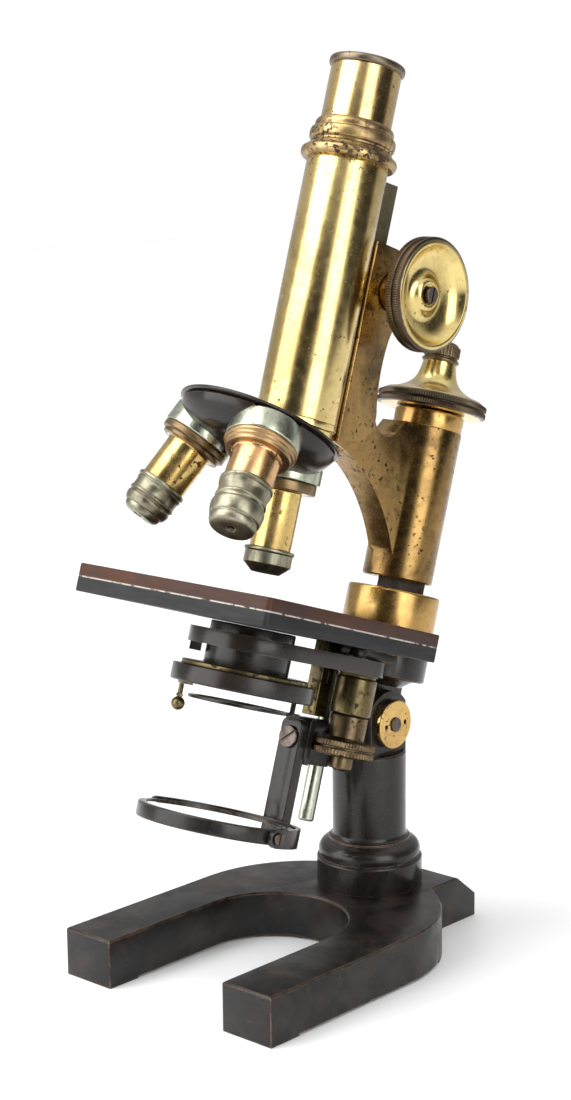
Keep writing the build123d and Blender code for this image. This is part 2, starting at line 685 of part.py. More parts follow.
def make_condenser_mount():
    mount = turned([(11.8, 10.4), (COND_R, 10.4), (COND_R, 26.2), (COND_R - 0.4, 26.6), (10.6, 26.6),
                    (10.6, 22.0),
                    (11.8, 21.0)])
    return on_optic(mount)


def make_condenser_lens():
    lens = turned([(0, 21.6), (10.6, 21.6), (10.6, 25.4), cap(10.6, 25.4, 26.4)])
    lower = turned([(0, 12.4), (11.8, 12.4), (11.8, 13.6), cap(11.8, 13.6, 17.0)])
    return on_optic(Compound(children=[lens, lower]))


def make_iris_housing():
    housing = turned([(11.5, IRIS_LOW), (IRIS_R - 0.5, IRIS_LOW), (IRIS_R, IRIS_LOW + 0.5),
                      (IRIS_R, IRIS_HIGH),
                      (12.6, IRIS_HIGH),
                      (12.6, IRIS_LOW + 3.2), (11.5, IRIS_LOW + 2.4)])
    return on_optic(housing)


def make_iris_leaves():
    """Closed-down diaphragm: overlapping crescent leaves in the housing."""
    leaves = []
    for k in range(8):
        low = IRIS_LOW + 3.3 + 0.2 * k
        leaf = rod(9.0, low, low + 0.2) - rod(7.0, low - 1, low + 1, -5.2, 0)
        leaf = leaf & rod(12.4, low - 1, low + 1)
        leaves.append(Rot(0, 0, 45 * k) * Pos(3.2, 0, 0) * leaf)
    return on_optic(Compound(children=leaves))


def make_iris_plate():
    plate = turned([(11.8, IRIS_HIGH), (24.4, IRIS_HIGH), (24.4, 10.0), (24.0, 10.4), (11.8, 10.4)])
    return on_optic(plate)


def make_screw_barrel():
    sheath = turned([(SCREW_R + RUN, 0.6), (7.6, 0.6), (8.1, 1.2), (8.1, 15.4), (7.4, 15.8),
                     (7.4, 16.4), (8.1, 16.8),
                     (8.1, ARM_LOW), (SCREW_R + RUN, ARM_LOW)])
    return Pos(SCREW_X, SCREW_V, 0) * sheath


def make_substage_knob():
    knob = turned([(0, -15.8), (10.9, -15.8), (11.6, -15.2), (11.6, -9.8), (10.9, -9.2), (7.5, -8.8),
                   (7.5, 0.0),
                   (7.1, 0.4), (0, 0.4)])
    knob += knurl(12.4, -15.4, -12.9, 64)
    knob += knurl(12.4, -12.1, -9.6, 64)
    return Pos(SCREW_X, SCREW_V, 0) * (knob - rod(SCREW_R, -20, 5))


def make_lead_screw():
    screw = turned([(0, -21.6), (2.2, -21.6), (2.6, -21.2), (SCREW_R, -20.8), (SCREW_R, 31.0),
                    (2.2, 31.8), (0, 31.8)])
    return Pos(SCREW_X, SCREW_V, 0) * screw


def make_lead_nut():
    nut = rod(4.75, -20.8, -15.8) - rod(SCREW_R, -25, -10)
    return Pos(SCREW_X, SCREW_V, 0) * nut


LEVER_ANGLE = 235.3
LEVER_R = 23.0


def make_iris_lever():
    """Pin, cross bar and ball that turn the iris from below."""
    strip = pipe(24.2, 21.4, IRIS_LOW - 1.0, IRIS_LOW - 0.15) & block(8, 30, -7, 7, -5, 5)
    pin = rod(0.95, -4.8, IRIS_LOW - 0.5, LEVER_R)
    cross = Pos(LEVER_R, 0, -3.6) * Rot(90, 0, 0) * Cylinder(0.8, 5.6)
    ball = Pos(LEVER_R, 0, -6.8) * Sphere(2.6)
    return on_optic(Rot(0, 0, LEVER_ANGLE) * (strip + pin + cross + ball))


FILTER_PIVOT = (11.0, -60.5)


def make_filter_ring():
    low = -3.6
    high = -2.4
    ring = pipe(19.5, 17.6, low, high, 0, OPTIC_V)
    px, pv = FILTER_PIVOT
    lug = rod(3.0, low, high, px, pv)
    toward = rod(3.2, low, high, px * 0.80, OPTIC_V + (pv - OPTIC_V) * 0.80)
    ring = ring + lug + (toward - rod(17.6, low - 1, high + 1, 0, OPTIC_V))
    pin = rod(1.0, high, IRIS_LOW - 0.2, px, pv)
    knob = rod(2.0, low - 1.6, low, px, pv)
    return ring + pin + knob


# ---------------------------------------------------------------- mirror
def make_mirror_bar():
    half = 5.4
    low = MIRROR_U - 6.0
    bar = block(-half, half, BAR_FRONT, BAR_BACK, low, -4.6)
    top_edges = bar.edges().filter_by(Axis.Y).group_by(Axis.Z)[-1]
    bar = fillet(top_edges, 3.0)
    bar = chamfer(bar.edges().filter_by(Axis.Z), 0.4)
    bar -= rod_y(1.9, BAR_FRONT - 1, BAR_BACK + 1, 0, BAR_PIVOT_U)
    bar -= rod_y(2.0 + RUN, BAR_FRONT - 1, BAR_BACK + 1, 0, MIRROR_U)
    return bar


def make_mirror_bar_screw():
    head = Pos(0, BAR_FRONT, BAR_PIVOT_U) * Rot(90, 0, 0) * Rot(0, 0, 40) * slotted_head(4.4, 1.3, 0.9)
    return head + rod_y(1.85, BAR_FRONT, BAR_BACK + 3.0, 0, BAR_PIVOT_U)


def make_mirror_fork():
    r_in = MIRROR_R + FORK_GAP
    r_out = r_in + FORK_WALL
    band = pipe(r_out, r_in, MIRROR_U - 3.6, MIRROR_U + 3.6) & block(-40, 40, 0, 40, -90, 0)
    for side in (-1, 1):
        middle = side * (r_in + r_out) / 2
        band += rod_x(3.6, middle - FORK_WALL / 2, middle + FORK_WALL / 2, 0, MIRROR_U)
        band -= rod_x(1.25, side * 31 - 5, side * 31 + 5, 0, MIRROR_U)
    stem = rod_y(2.0, r_out - 1.0, BAR_BACK - OPTIC_V + 0.6, 0, MIRROR_U)
    return on_optic(band + stem)


def make_fork_screws():
    group = []
    r_out = MIRROR_R + FORK_GAP + FORK_WALL
    for side in (-1, 1):
        screw = rod(1.25, MIRROR_R - 1.4, r_out) + Pos(0, 0, r_out) * slotted_head(2.4, 1.1, 0.6)
        group.append(Pos(0, 0, MIRROR_U) * Rot(0, 90 * side, 0) * screw)
    return on_optic(Compound(children=group))


def make_mirror_ring():
    low = MIRROR_U - 2.85
    high = MIRROR_U + 2.85
    lip = GLASS_R - 1.5
    ring = turned([(lip, low), (MIRROR_R - 0.4, low), (MIRROR_R, low + 0.5), (MIRROR_R, high - 0.5),
                   (MIRROR_R - 0.4, high), (GLASS_R - 0.7, high), (GLASS_R - 0.7, high - 0.5),
                   (GLASS_R, high - 0.5), (GLASS_R, high - 2.0), (lip, high - 2.4), (lip, high - 3.2),
                   (GLASS_R, high - 3.6), (GLASS_R, low + 0.6), (lip, low + 0.3)])
    for side in (-1, 1):
        ring -= Pos(0, 0, MIRROR_U) * Rot(0, 90 * side, 0) * rod(1.25 + RUN, 24, 31)
    return on_optic(ring)


def make_mirror_glasses():
    high = MIRROR_U + 2.85
    low = MIRROR_U - 2.85
    plane = rod(GLASS_R, high - 2.0, high - 0.5)
    hollow = turned([(0, low + 1.4), (GLASS_R, low + 0.6), (GLASS_R, low + 2.1), (0, low + 2.1)])
    return on_optic(Compound(children=[plane, hollow]))


# ---------------------------------------------------------------- build
def build():
    keep("foot", make_foot())
    keep("foot_screws", make_foot_screws())
    keep("pillar", make_pillar())
    keep("hinge_bolt", make_hinge_bolt())
    keep("hinge_nuts", Compound(children=[make_hinge_nut(1), make_hinge_nut(-1)]))

    keep_leaned("limb", make_limb())
    keep_leaned("limb_collar", make_limb_collar())
    keep_leaned("prism_post", prism(22, 108))
    keep_leaned("stage_plate", make_stage_plate())
    keep_leaned("stage_cover", stage_layer(STAGE_SEAM, STAGE_TOP, -1))
    keep_leaned("stage_screws", make_stage_screws())
    keep_leaned("substage_guide", make_substage_guide())
    keep_leaned("mirror_rod", make_mirror_rod())
    keep_leaned("mirror_carrier", make_mirror_carrier())

    keep_leaned("arm", make_arm())
    keep_leaned("arm_cap", make_arm_cap())
    keep_leaned("fine_spring", make_fine_spring())
    keep_leaned("micrometer_screw", make_micrometer_screw())
    keep_leaned("fine_knob", make_fine_knob())
    keep_leaned("fine_knob_cap", make_fine_cap())

    keep_leaned("rack_slide", make_rack_slide())
    keep_leaned("pinion", make_pinion())
    keep_leaned("coarse_knob_right", make_coarse_knob(1))
    keep_leaned("coarse_knob_left", make_coarse_knob(-1))
    keep_leaned("coarse_knob_screws", make_coarse_knob_screws())

    keep_leaned("main_tube", make_main_tube())
    keep_leaned("tube_collar", make_tube_collar())
    keep_leaned("tube_ring", make_tube_ring())
    keep_leaned("draw_tube", make_draw_tube())
    keep_leaned("eyepiece_shell", make_eyepiece_shell())
    keep_leaned("eyepiece_lenses", make_eyepiece_lenses())

    keep_leaned("nosepiece_shield", make_shield())
    keep_leaned("nosepiece_pivot", make_nose_pivot())
    keep_leaned("nosepiece_dome", make_dome())
    keep_leaned("nosepiece_sockets", make_sockets())
    low_tip, high_tip, mid_tip = make_tips()
    low_barrel = barrel([(12.9, 4.0)], 8.0, -110.6)
    high_barrel = barrel([(13.9, 1.5), (13.2, 1.3), (12.4, 1.6)], 9.2, -100.8)
    mid_barrel = barrel([(13.6, 2.6), (12.2, 1.8)], 8.9, -105.2)
    keep_leaned("objective_low_barrel", at_station(low_barrel, 0))
    keep_leaned("objective_low_tip", at_station(low_tip, 0))
    keep_leaned("objective_high_barrel", at_station(high_barrel, STATION_NEAR))
    keep_leaned("objective_high_tip", at_station(high_tip, STATION_NEAR))
    keep_leaned("objective_mid_barrel", at_station(mid_barrel, STATION_FAR))
    keep_leaned("objective_mid_tip", at_station(mid_tip, STATION_FAR))
    keep_leaned("objective_lenses", make_front_lenses())

    keep_leaned("substage_arm", make_substage_arm())
    keep_leaned("condenser_mount", make_condenser_mount())
    keep_leaned("condenser_lens", make_condenser_lens())
    keep_leaned("iris_plate", make_iris_plate())
    keep_leaned("iris_housing", make_iris_housing())
    keep_leaned("iris_leaves", make_iris_leaves())
    keep_leaned("iris_lever", make_iris_lever())
    keep_leaned("filter_ring", make_filter_ring())
    keep_leaned("screw_barrel", make_screw_barrel())
    keep_leaned("substage_knob", make_substage_knob())
    keep_leaned("lead_screw", make_lead_screw())
    keep_leaned("lead_screw_nut", make_lead_nut())

    keep_leaned("mirror_bar", make_mirror_bar())
    keep_leaned("mirror_bar_screw", make_mirror_bar_screw())
    keep_leaned("mirror_fork", make_mirror_fork())
    keep_leaned("fork_screws", make_fork_screws())
    keep_leaned("mirror_ring", make_mirror_ring())
    keep_leaned("mirror_glasses", make_mirror_glasses())


build()
for name, shape in PARTS.items():
    export_step(shape, f"parts/{name}.step")
print(len(PARTS), "nodes")
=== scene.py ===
import json
import math

import bmesh
import bpy
from mathutils import Matrix, Vector

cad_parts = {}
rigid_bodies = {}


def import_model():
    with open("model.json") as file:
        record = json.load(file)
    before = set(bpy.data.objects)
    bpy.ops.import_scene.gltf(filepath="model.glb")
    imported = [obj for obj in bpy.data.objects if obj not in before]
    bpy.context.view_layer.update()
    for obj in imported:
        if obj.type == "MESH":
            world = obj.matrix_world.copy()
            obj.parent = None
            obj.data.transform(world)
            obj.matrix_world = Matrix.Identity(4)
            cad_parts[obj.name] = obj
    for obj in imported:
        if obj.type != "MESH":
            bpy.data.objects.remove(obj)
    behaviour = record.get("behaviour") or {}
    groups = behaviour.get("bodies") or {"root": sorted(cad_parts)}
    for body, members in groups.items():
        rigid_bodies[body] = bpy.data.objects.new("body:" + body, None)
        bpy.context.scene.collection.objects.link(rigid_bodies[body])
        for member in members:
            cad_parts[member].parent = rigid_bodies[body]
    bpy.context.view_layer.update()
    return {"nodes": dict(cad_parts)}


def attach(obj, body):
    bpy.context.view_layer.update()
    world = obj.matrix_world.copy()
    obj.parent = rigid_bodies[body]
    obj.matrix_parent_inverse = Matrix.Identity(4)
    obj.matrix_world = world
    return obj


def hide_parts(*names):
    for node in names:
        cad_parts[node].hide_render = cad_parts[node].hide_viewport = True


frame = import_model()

# A brass and black-japanned microscope. Millimetres in the shape code, metres in the scene.
# "Leaned" places are in the limb's own frame: x across, v backwards, u up the tube.
MM = 0.001
NODES = frame["nodes"]

for leftover in [o for o in bpy.data.objects if o.name in ("Cube", "Light", "Camera")]:
    bpy.data.objects.remove(leftover)


# ------------------------------------------------------------------ places
def shift(x=0.0, y=0.0, z=0.0):
    return Matrix.Translation(Vector((x, y, z)) * MM)


JOINT_Z = 87.6
LEAN = math.radians(18.0)
LIMB = shift(z=JOINT_Z) @ Matrix.Rotation(-LEAN, 4, "X")
OPTIC_V = -79.2
OPTIC = LIMB @ shift(y=OPTIC_V)
ALONG_X = Matrix.Rotation(math.radians(90), 4, "Y")
ALONG_LESS_X = Matrix.Rotation(math.radians(-90), 4, "Y")
PINION = LIMB @ shift(0, -48.5, 165.0)
QUICK_SCREW = LIMB @ shift(12.0, -27.3, 0)

NOSE_LEAN = math.radians(14.7)
NOSE_TURN = math.radians(-6.0)
NOSE_UP = Vector((-math.sin(NOSE_LEAN) * math.sin(NOSE_TURN), math.sin(NOSE_LEAN) * math.cos(NOSE_TURN),
                  math.cos(NOSE_LEAN)))
APEX = shift(0, OPTIC_V, 167.6)
SOCKET_LOW = -84.0
SOCKET_TOP = -75.6
SOCKET_TURNS = (-90, 0, -28)
BARREL_TOP = -77.4


def station(k):
    """Place of objective k: drawn on the optical axis, z = 0 at the apex, then turned."""
    turn = Matrix.Rotation(math.radians(120 * k), 4, NOSE_UP)
    return LIMB @ APEX @ turn


# ------------------------------------------------------------------ mesh tools
STEPS_PER_TOOTH = 4
WELD = 3e-6
FLAT = math.radians(0.7)
EDGE = math.radians(32)
CAST_SHARP = math.radians(30)
TURNED_SHARP = math.radians(38)
ROUND_ENOUGH = math.radians(152)
SLIT_DEPTH = 0.9


def bow(a, b, c, steps=8):
    """Points of a smooth curve from a to c pulled towards b, without a itself."""
    points = []
    for i in range(1, steps + 1):
        t = i / steps
        s = 1 - t
        points.append(tuple(s * s * p + 2 * s * t * q + t * t * r for p, q, r in zip(a[:2], b[:2], c[:2])))
    return points


def eased(path, closed, radius):
    """The path with its hard corners rounded by a small radius."""
    points = []
    count = len(path)
    for i, here in enumerate(path):
        if not closed and i in (0, count - 1):
            points.append(here)
            continue
        before = Vector(path[i - 1][:2])
        after = Vector(path[(i + 1) % count][:2])
        corner = Vector(here[:2])
        back = before - corner
        ahead = after - corner
        if back.length < 1e-6 or ahead.length < 1e-6 or back.angle(ahead, math.pi) > ROUND_ENOUGH:
            points.append(here)
            continue
        reach = min(radius, back.length * 0.45, ahead.length * 0.45)
        start = corner + back.normalized() * reach
        end = corner + ahead.normalized() * reach
        tail = tuple(here[2:])
        points.append((start.x, start.y) + tail)
        middle = (start + end) / 4 + corner / 2
        points.append((middle.x, middle.y) + tail)
        points.append((end.x, end.y) + tail)
    return points


def lathe_data(path, closed, steps, ease, teeth=0, slit=None):
    """Vertices (mm) and faces of a turned shape. A third number in a point is its knurl depth.

    slit is the step at which a narrow groove runs down the side.
    """
    outline = eased(path, closed, ease)
    verts = []
    rings = []
    for point in outline:
        r, z = point[0], point[1]
        depth = point[2] if len(point) > 2 else 0.0
        if r < 1e-6:
            rings.append([len(verts)])
            verts.append((0.0, 0.0, z))
            continue
        ring = []
        for j in range(steps):
            a = 2 * math.pi * j / steps
            rad = r
            if depth:
                wave = 0.5 - 0.5 * math.cos(a * teeth)
                worn = 0.8 + 0.2 * math.sin(3 * a + z) * math.sin(7 * a)
                rad -= depth * worn * wave ** 0.7
            if slit is not None and j == slit:
                rad -= SLIT_DEPTH
            ring.append(len(verts))
            verts.append((rad * math.cos(a), rad * math.sin(a), z))
        rings.append(ring)
    faces = []
    pairs = list(zip(rings, rings[1:] + rings[:1])) if closed else list(zip(rings, rings[1:]))
    for low, high in pairs:
        for j in range(steps):
            k = (j + 1) % steps
            if len(low) == 1 and len(high) == 1:
                break
            if len(low) == 1:
                faces.append((low[0], high[k], high[j]))
            elif len(high) == 1:
                faces.append((low[j], low[k], high[0]))
            else:
                faces.append((low[j], low[k], high[k], high[j]))
    return verts, faces


def finish_mesh(name, mesh, place, material, body, nodes, sharp):
    """Makes the mesh a piece: its material, shading, place, body, slot and the nodes it stands for."""
    mesh.materials.clear()
    mesh.materials.append(material)
    for polygon in mesh.polygons:
        polygon.use_smooth = True
        polygon.material_index = 0
    mesh.set_sharp_from_angle(angle=sharp)
    obj = bpy.data.objects.new(name, mesh)
    bpy.context.scene.collection.objects.link(obj)
    obj.matrix_world = place
    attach(obj, body)
    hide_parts(*nodes)


def mesh_of(name, groups):
    """One mesh from several (verts in mm, faces, place relative to the object)."""
    bm = bmesh.new()
    for verts, faces, local in groups:
        made = [bm.verts.new(local @ (Vector(v) * MM)) for v in verts]
        for face in faces:
            bm.faces.new([made[i] for i in face])
    bmesh.ops.recalc_face_normals(bm, faces=bm.faces)
    mesh = bpy.data.meshes.new(name)
    bm.to_mesh(mesh)
    bm.free()
    return mesh


def turned(name, path, place, material, body, nodes, closed=True, steps=144, ease=0.25, teeth=0):
    """A turned piece that stands for the given CAD nodes. teeth is the number of knurls round it."""
    steps = teeth * STEPS_PER_TOOTH if teeth else steps
    verts, faces = lathe_data(path, closed, steps, ease, teeth)
    mesh = mesh_of(name, [(verts, faces, Matrix.Identity(4))])
    finish_mesh(name, mesh, place, material, body, nodes, TURNED_SHARP)


def refined(node, material, body, width=0.4, place=Matrix.Identity(4), segments=3):
    """A casting: the CAD shape with its hard edges rounded by a width in mm."""
    mesh = NODES[node].data.copy()
    bm = bmesh.new()
    bm.from_mesh(mesh)
    bmesh.ops.remove_doubles(bm, verts=bm.verts, dist=WELD)
    bmesh.ops.dissolve_limit(bm, angle_limit=FLAT, verts=bm.verts, edges=bm.edges)
    bm.transform(place.inverted())
    bm.to_mesh(mesh)
    bm.free()
    rough = bpy.data.objects.new("work", mesh)
    bpy.context.scene.collection.objects.link(rough)
    bevel = rough.modifiers.new("edges", "BEVEL")
    bevel.width = width * MM
    bevel.segments = segments
    bevel.limit_method = "ANGLE"
    bevel.angle_limit = EDGE
    bevel.miter_outer = "MITER_ARC"
    bpy.context.view_layer.update()
    graph = bpy.context.evaluated_depsgraph_get()
    smooth = bpy.data.meshes.new_from_object(rough.evaluated_get(graph))
    bpy.data.objects.remove(rough)
    name = node + "_fine"
    smooth.name = name
    finish_mesh(name, smooth, place, material, body, [node], CAST_SHARP)


# ------------------------------------------------------------------ material tools
class Shader:
    """A principled material and short ways to add nodes to it."""

    def __init__(self, name, **sockets):
        self.material = bpy.data.materials.new(name)
        self.material.use_nodes = True
        self.tree = self.material.node_tree
        self.tree.nodes.clear()
        self.out = self.tree.nodes.new("ShaderNodeOutputMaterial")
        self.bsdf = self.tree.nodes.new("ShaderNodeBsdfPrincipled")
        self.tree.links.new(self.bsdf.outputs[0], self.out.inputs["Surface"])
        for key, value in sockets.items():
            self.bsdf.inputs[key.replace("_", " ")].default_value = value
        self.co = self.tree.nodes.new("ShaderNodeTexCoord").outputs["Object"]

    def put(self, socket, value):
        if isinstance(value, bpy.types.NodeSocket):
            self.tree.links.new(value, socket)
        else:
            socket.default_value = value

    def math(self, operation, a, b=0.0, c=0.0):
        node = self.tree.nodes.new("ShaderNodeMath")
        node.operation = operation
        for socket, value in zip(node.inputs, (a, b, c)):
            self.put(socket, value)
        return node.outputs[0]

    def stretch(self, x, y, z):
        node = self.tree.nodes.new("ShaderNodeMapping")
        node.inputs["Scale"].default_value = (x, y, z)
        self.put(node.inputs["Vector"], self.co)
        return node.outputs[0]

    def noise(self, scale, detail=3.0, roughness=0.55, vector=None, warp=0.0):
        node = self.tree.nodes.new("ShaderNodeTexNoise")
        self.put(node.inputs["Vector"], vector or self.co)
        node.inputs["Scale"].default_value = scale
        node.inputs["Detail"].default_value = detail
        node.inputs["Roughness"].default_value = roughness
        node.inputs["Distortion"].default_value = warp
        return node.outputs["Fac"]

    def step(self, value, low, high, out_low=0.0, out_high=1.0):
        """Smooth step of a value between low and high."""
        node = self.tree.nodes.new("ShaderNodeMapRange")
        node.interpolation_type = "SMOOTHSTEP"
        for key, number in zip(("From Min", "From Max", "To Min", "To Max"), (low, high, out_low, out_high)):
            node.inputs[key].default_value = number
        self.put(node.inputs["Value"], value)
        return node.outputs["Result"]

    def mix(self, factor, a, b):
        node = self.tree.nodes.new("ShaderNodeMix")
        node.data_type = "RGBA"
        self.put(node.inputs[0], factor)
        self.put(node.inputs[6], a if isinstance(a, bpy.types.NodeSocket) else (*a, 1.0))
        self.put(node.inputs[7], b if isinstance(b, bpy.types.NodeSocket) else (*b, 1.0))
        return node.outputs[2]

    def axis(self, index):
        node = self.tree.nodes.new("ShaderNodeSeparateXYZ")
        self.put(node.inputs[0], self.co)
        return node.outputs[index]

    def edges(self, radius, low=0.006, high=0.055):
        """Mask of hard edges, from how far the bevelled normal leans from the true one."""
        bevel = self.tree.nodes.new("ShaderNodeBevel")
        bevel.samples = 6
        bevel.inputs["Radius"].default_value = radius * MM
        geometry = self.tree.nodes.new("ShaderNodeNewGeometry")
        dot = self.tree.nodes.new("ShaderNodeVectorMath")
        dot.operation = "DOT_PRODUCT"
        self.put(dot.inputs[0], bevel.outputs[0])
        self.put(dot.inputs[1], geometry.outputs["Normal"])
        return self.step(self.math("SUBTRACT", 1.0, dot.outputs["Value"]), low, high)

    def crevice(self, distance, low=0.35, high=0.85):
        """Mask of grooves and inner corners."""
        node = self.tree.nodes.new("ShaderNodeAmbientOcclusion")
        node.samples = 6
        node.only_local = True
        node.inputs["Distance"].default_value = distance * MM
        return self.step(node.outputs["AO"], low, high, 1.0, 0.0)

    def bump(self, height, strength, distance):
        node = self.tree.nodes.new("ShaderNodeBump")
        node.inputs["Strength"].default_value = strength
        node.inputs["Distance"].default_value = distance * MM
        self.put(node.inputs["Height"], height)
        self.put(self.bsdf.inputs["Normal"], node.outputs[0])

    def finish(self, color, roughness, metallic=None):
        self.put(self.bsdf.inputs["Base Color"], color)
        self.put(self.bsdf.inputs["Roughness"], roughness)
        if metallic is not None:
            self.put(self.bsdf.inputs["Metallic"], metallic)
        return self.material


def brass(name, bright, deep, stain, gloss=(0.14, 0.26), clouds=0.5, freckles=0.66, dirt=0.8,
          turned_lines=0.25, ends=None, rim=None, rim_tone=(0.085, 0.060, 0.038)):
    """Old lacquered brass: clouds of deeper tone, freckles of tarnish, dark grooves, tool lines.

    More freckles is a lower freckles value. ends is (low, high, reach) in mm along the axis: freckles
    gather at both ends. rim is a radius in mm beyond which the brass has gone to rim_tone.
    """
    s = Shader(name, Metallic=1.0, Coat_Weight=0.12, Coat_Roughness=0.12)
    cloud = s.step(s.noise(38, 4, 0.6, warp=0.6), 0.42, 0.68)
    mottled = s.noise(260, 5, 0.65)
    lines = s.noise(1.0, 3, 0.6, s.stretch(60, 60, 2600))
    spots = s.step(s.noise(560, 2, 0.5), freckles, freckles + 0.07)
    where = s.step(s.noise(90, 2, 0.5), 0.40, 0.60)
    if ends:
        low, high, reach = ends
        z = s.axis(2)
        near_low = s.step(z, low * MM, (low + reach) * MM, 1.0, 0.0)
        near_high = s.step(z, (high - reach) * MM, high * MM)
        close = s.math("MAXIMUM", near_low, near_high)
        many = s.step(s.math("ADD", s.noise(420, 4, 0.7), s.math("MULTIPLY", close, 0.10)), 0.62, 0.70)
        spots = s.math("MAXIMUM", spots, s.math("MULTIPLY", many, close))
    spots = s.math("MULTIPLY", spots, s.math("MAXIMUM", where, 0.15))
    groove = s.math("MULTIPLY", s.crevice(1.6), dirt)
    tone = s.mix(s.math("MULTIPLY", cloud, clouds), bright, deep)
    tone = s.mix(s.step(mottled, 0.45, 0.75, 0.0, 0.35), tone, deep)
    tone = s.mix(spots, tone, stain)
    tone = s.mix(groove, tone, stain)
    rough = s.step(mottled, 0.3, 0.7, gloss[0], gloss[1])
    rough = s.math("ADD", rough, s.math("MULTIPLY", s.math("MAXIMUM", spots, groove), 0.3))
    rough = s.math("ADD", rough, s.math("MULTIPLY", lines, 0.06))
    if rim:
        across = s.math("POWER", s.axis(0), 2.0)
        reach = s.math("SQRT", s.math("ADD", across, s.math("POWER", s.axis(1), 2.0)))
        uneven = s.math("ADD", reach, s.math("MULTIPLY", mottled, 0.6 * MM))
        brown = s.step(uneven, rim * MM, (rim + 0.7) * MM)
        tone = s.mix(brown, tone, s.mix(cloud, rim_tone, tuple(0.55 * c for c in rim_tone)))
        rough = s.math("ADD", rough, s.math("MULTIPLY", brown, 0.12))
    height = s.math("ADD", s.math("MULTIPLY", lines, turned_lines), s.math("MULTIPLY", mottled, 0.5))
    height = s.math("SUBTRACT", height, s.math("MULTIPLY", spots, 0.4))
    s.bump(height, 0.25, 0.02)
    return s.finish(tone, rough)


def japan(name, black=(0.010, 0.009, 0.008), brown=(0.030, 0.020, 0.015), worn=(0.20, 0.10, 0.05),
          gloss=(0.28, 0.46), wear=0.7, edge=0.7, patches=0.6, dust=0.10):
    """Black japanning over brass: soft brown fade, rubbed edges, hairline scratches, a little dust.

    edge is the width in mm of the rubbed edges, wear how bare they are, patches how strong the fade is.
    """
    s = Shader(name, Specular_IOR_Level=0.32, Coat_Weight=0.06, Coat_Roughness=0.2)
    fade = s.step(s.noise(38, 5, 0.68, warp=0.5), 0.44, 0.60)
    grain = s.noise(900, 4, 0.7)
    scratch = s.step(s.noise(1.0, 2, 0.5, s.stretch(120, 900, 2400), 0.3), 0.66, 0.74)
    broken = s.step(s.noise(210, 5, 0.75), 0.38, 0.60)
    rub = s.math("MULTIPLY", s.math("MULTIPLY", s.edges(edge, 0.006, 0.040), broken), wear)
    chips = s.step(s.noise(240, 3, 0.6), 0.72, 0.76)
    chips = s.math("MULTIPLY", chips, s.step(s.noise(40, 2, 0.5), 0.52, 0.66))
    tone = s.mix(s.math("MULTIPLY", fade, patches), black, brown)
    tone = s.mix(s.step(grain, 0.55, 0.85, 0.0, dust), tone, (0.16, 0.14, 0.12))
    tone = s.mix(s.math("MULTIPLY", scratch, 0.25), tone, (0.09, 0.07, 0.055))
    tone = s.mix(s.math("MAXIMUM", rub, s.math("MULTIPLY", chips, 0.5)), tone, worn)
    rough = s.step(s.noise(70, 5, 0.65), 0.3, 0.7, gloss[0], gloss[1])
    rough = s.math("ADD", rough, s.math("MULTIPLY", rub, 0.1))
    height = s.math("ADD", s.math("MULTIPLY", grain, 0.4), s.math("MULTIPLY", s.noise(140, 3), 1.2))
    height = s.math("SUBTRACT", height, s.math("MULTIPLY", s.math("MAXIMUM", scratch, rub), 0.5))
    s.bump(height, 0.22, 0.03)
    return s.finish(tone, rough, s.math("MULTIPLY", rub, 0.55))


def vulcanite(name, main, other, seam_u):
    """Hard rubber gone brown, with a pale chipped line at seam_u, where the two layers meet."""
    s = Shader(name, Specular_IOR_Level=0.25)
    fade = s.step(s.noise(18, 4, 0.6, warp=0.8), 0.36, 0.66)
    grain = s.noise(1100, 3, 0.7)
    streak = s.noise(1.0, 4, 0.6, s.stretch(90, 90, 900))
    from_seam = s.math("ABSOLUTE", s.math("SUBTRACT", s.axis(2), seam_u * MM))
    near = s.step(from_seam, 0.10 * MM, 0.38 * MM, 1.0, 0.0)
    broken = s.step(s.noise(260, 4, 0.75), 0.40, 0.52)
    chips = s.math("MULTIPLY", near, broken)
    rub = s.math("MULTIPLY", s.edges(0.5), s.step(s.noise(420, 3, 0.6), 0.42, 0.62))
    tone = s.mix(fade, main, other)
    tone = s.mix(s.step(streak, 0.5, 0.8, 0.0, 0.35), tone, other)
    tone = s.mix(s.math("MULTIPLY", rub, 0.5), tone, (0.22, 0.17, 0.13))
    tone = s.mix(chips, tone, (0.52, 0.48, 0.42))
    rough = s.step(streak, 0.3, 0.7, 0.38, 0.56)
    height = s.math("SUBTRACT", s.math("MULTIPLY", grain, 0.5), chips)
    s.bump(height, 0.3, 0.05)
    return s.finish(tone, rough)


def nickel(name, pale, dull, stain, gloss=(0.2, 0.34), streaks=0.6):
    """Worn nickel plating or dull steel, with streaks and a film in the grooves."""
    s = Shader(name, Metallic=1.0)
    cloud = s.step(s.noise(75, 4, 0.65, warp=0.7), 0.40, 0.66)
    run = s.noise(1.0, 4, 0.6, s.stretch(420, 420, 70))
    lines = s.noise(1.0, 3, 0.6, s.stretch(60, 60, 3000))
    spots = s.step(s.noise(620, 3, 0.6), 0.64, 0.72)
    groove = s.crevice(1.3)
    tone = s.mix(cloud, pale, dull)
    tone = s.mix(s.step(run, 0.5, 0.78, 0.0, streaks), tone, stain)
    tone = s.mix(s.math("MULTIPLY", s.math("MAXIMUM", spots, groove), 0.75), tone, stain)
    rough = s.step(run, 0.3, 0.7, gloss[0], gloss[1])
    rough = s.math("ADD", rough, s.math("MULTIPLY", groove, 0.2))
    height = s.math("ADD", s.math("MULTIPLY", lines, 0.4), s.math("MULTIPLY", s.noise(300, 4, 0.6), 0.6))
    s.bump(height, 0.2, 0.02)
    return s.finish(tone, rough)


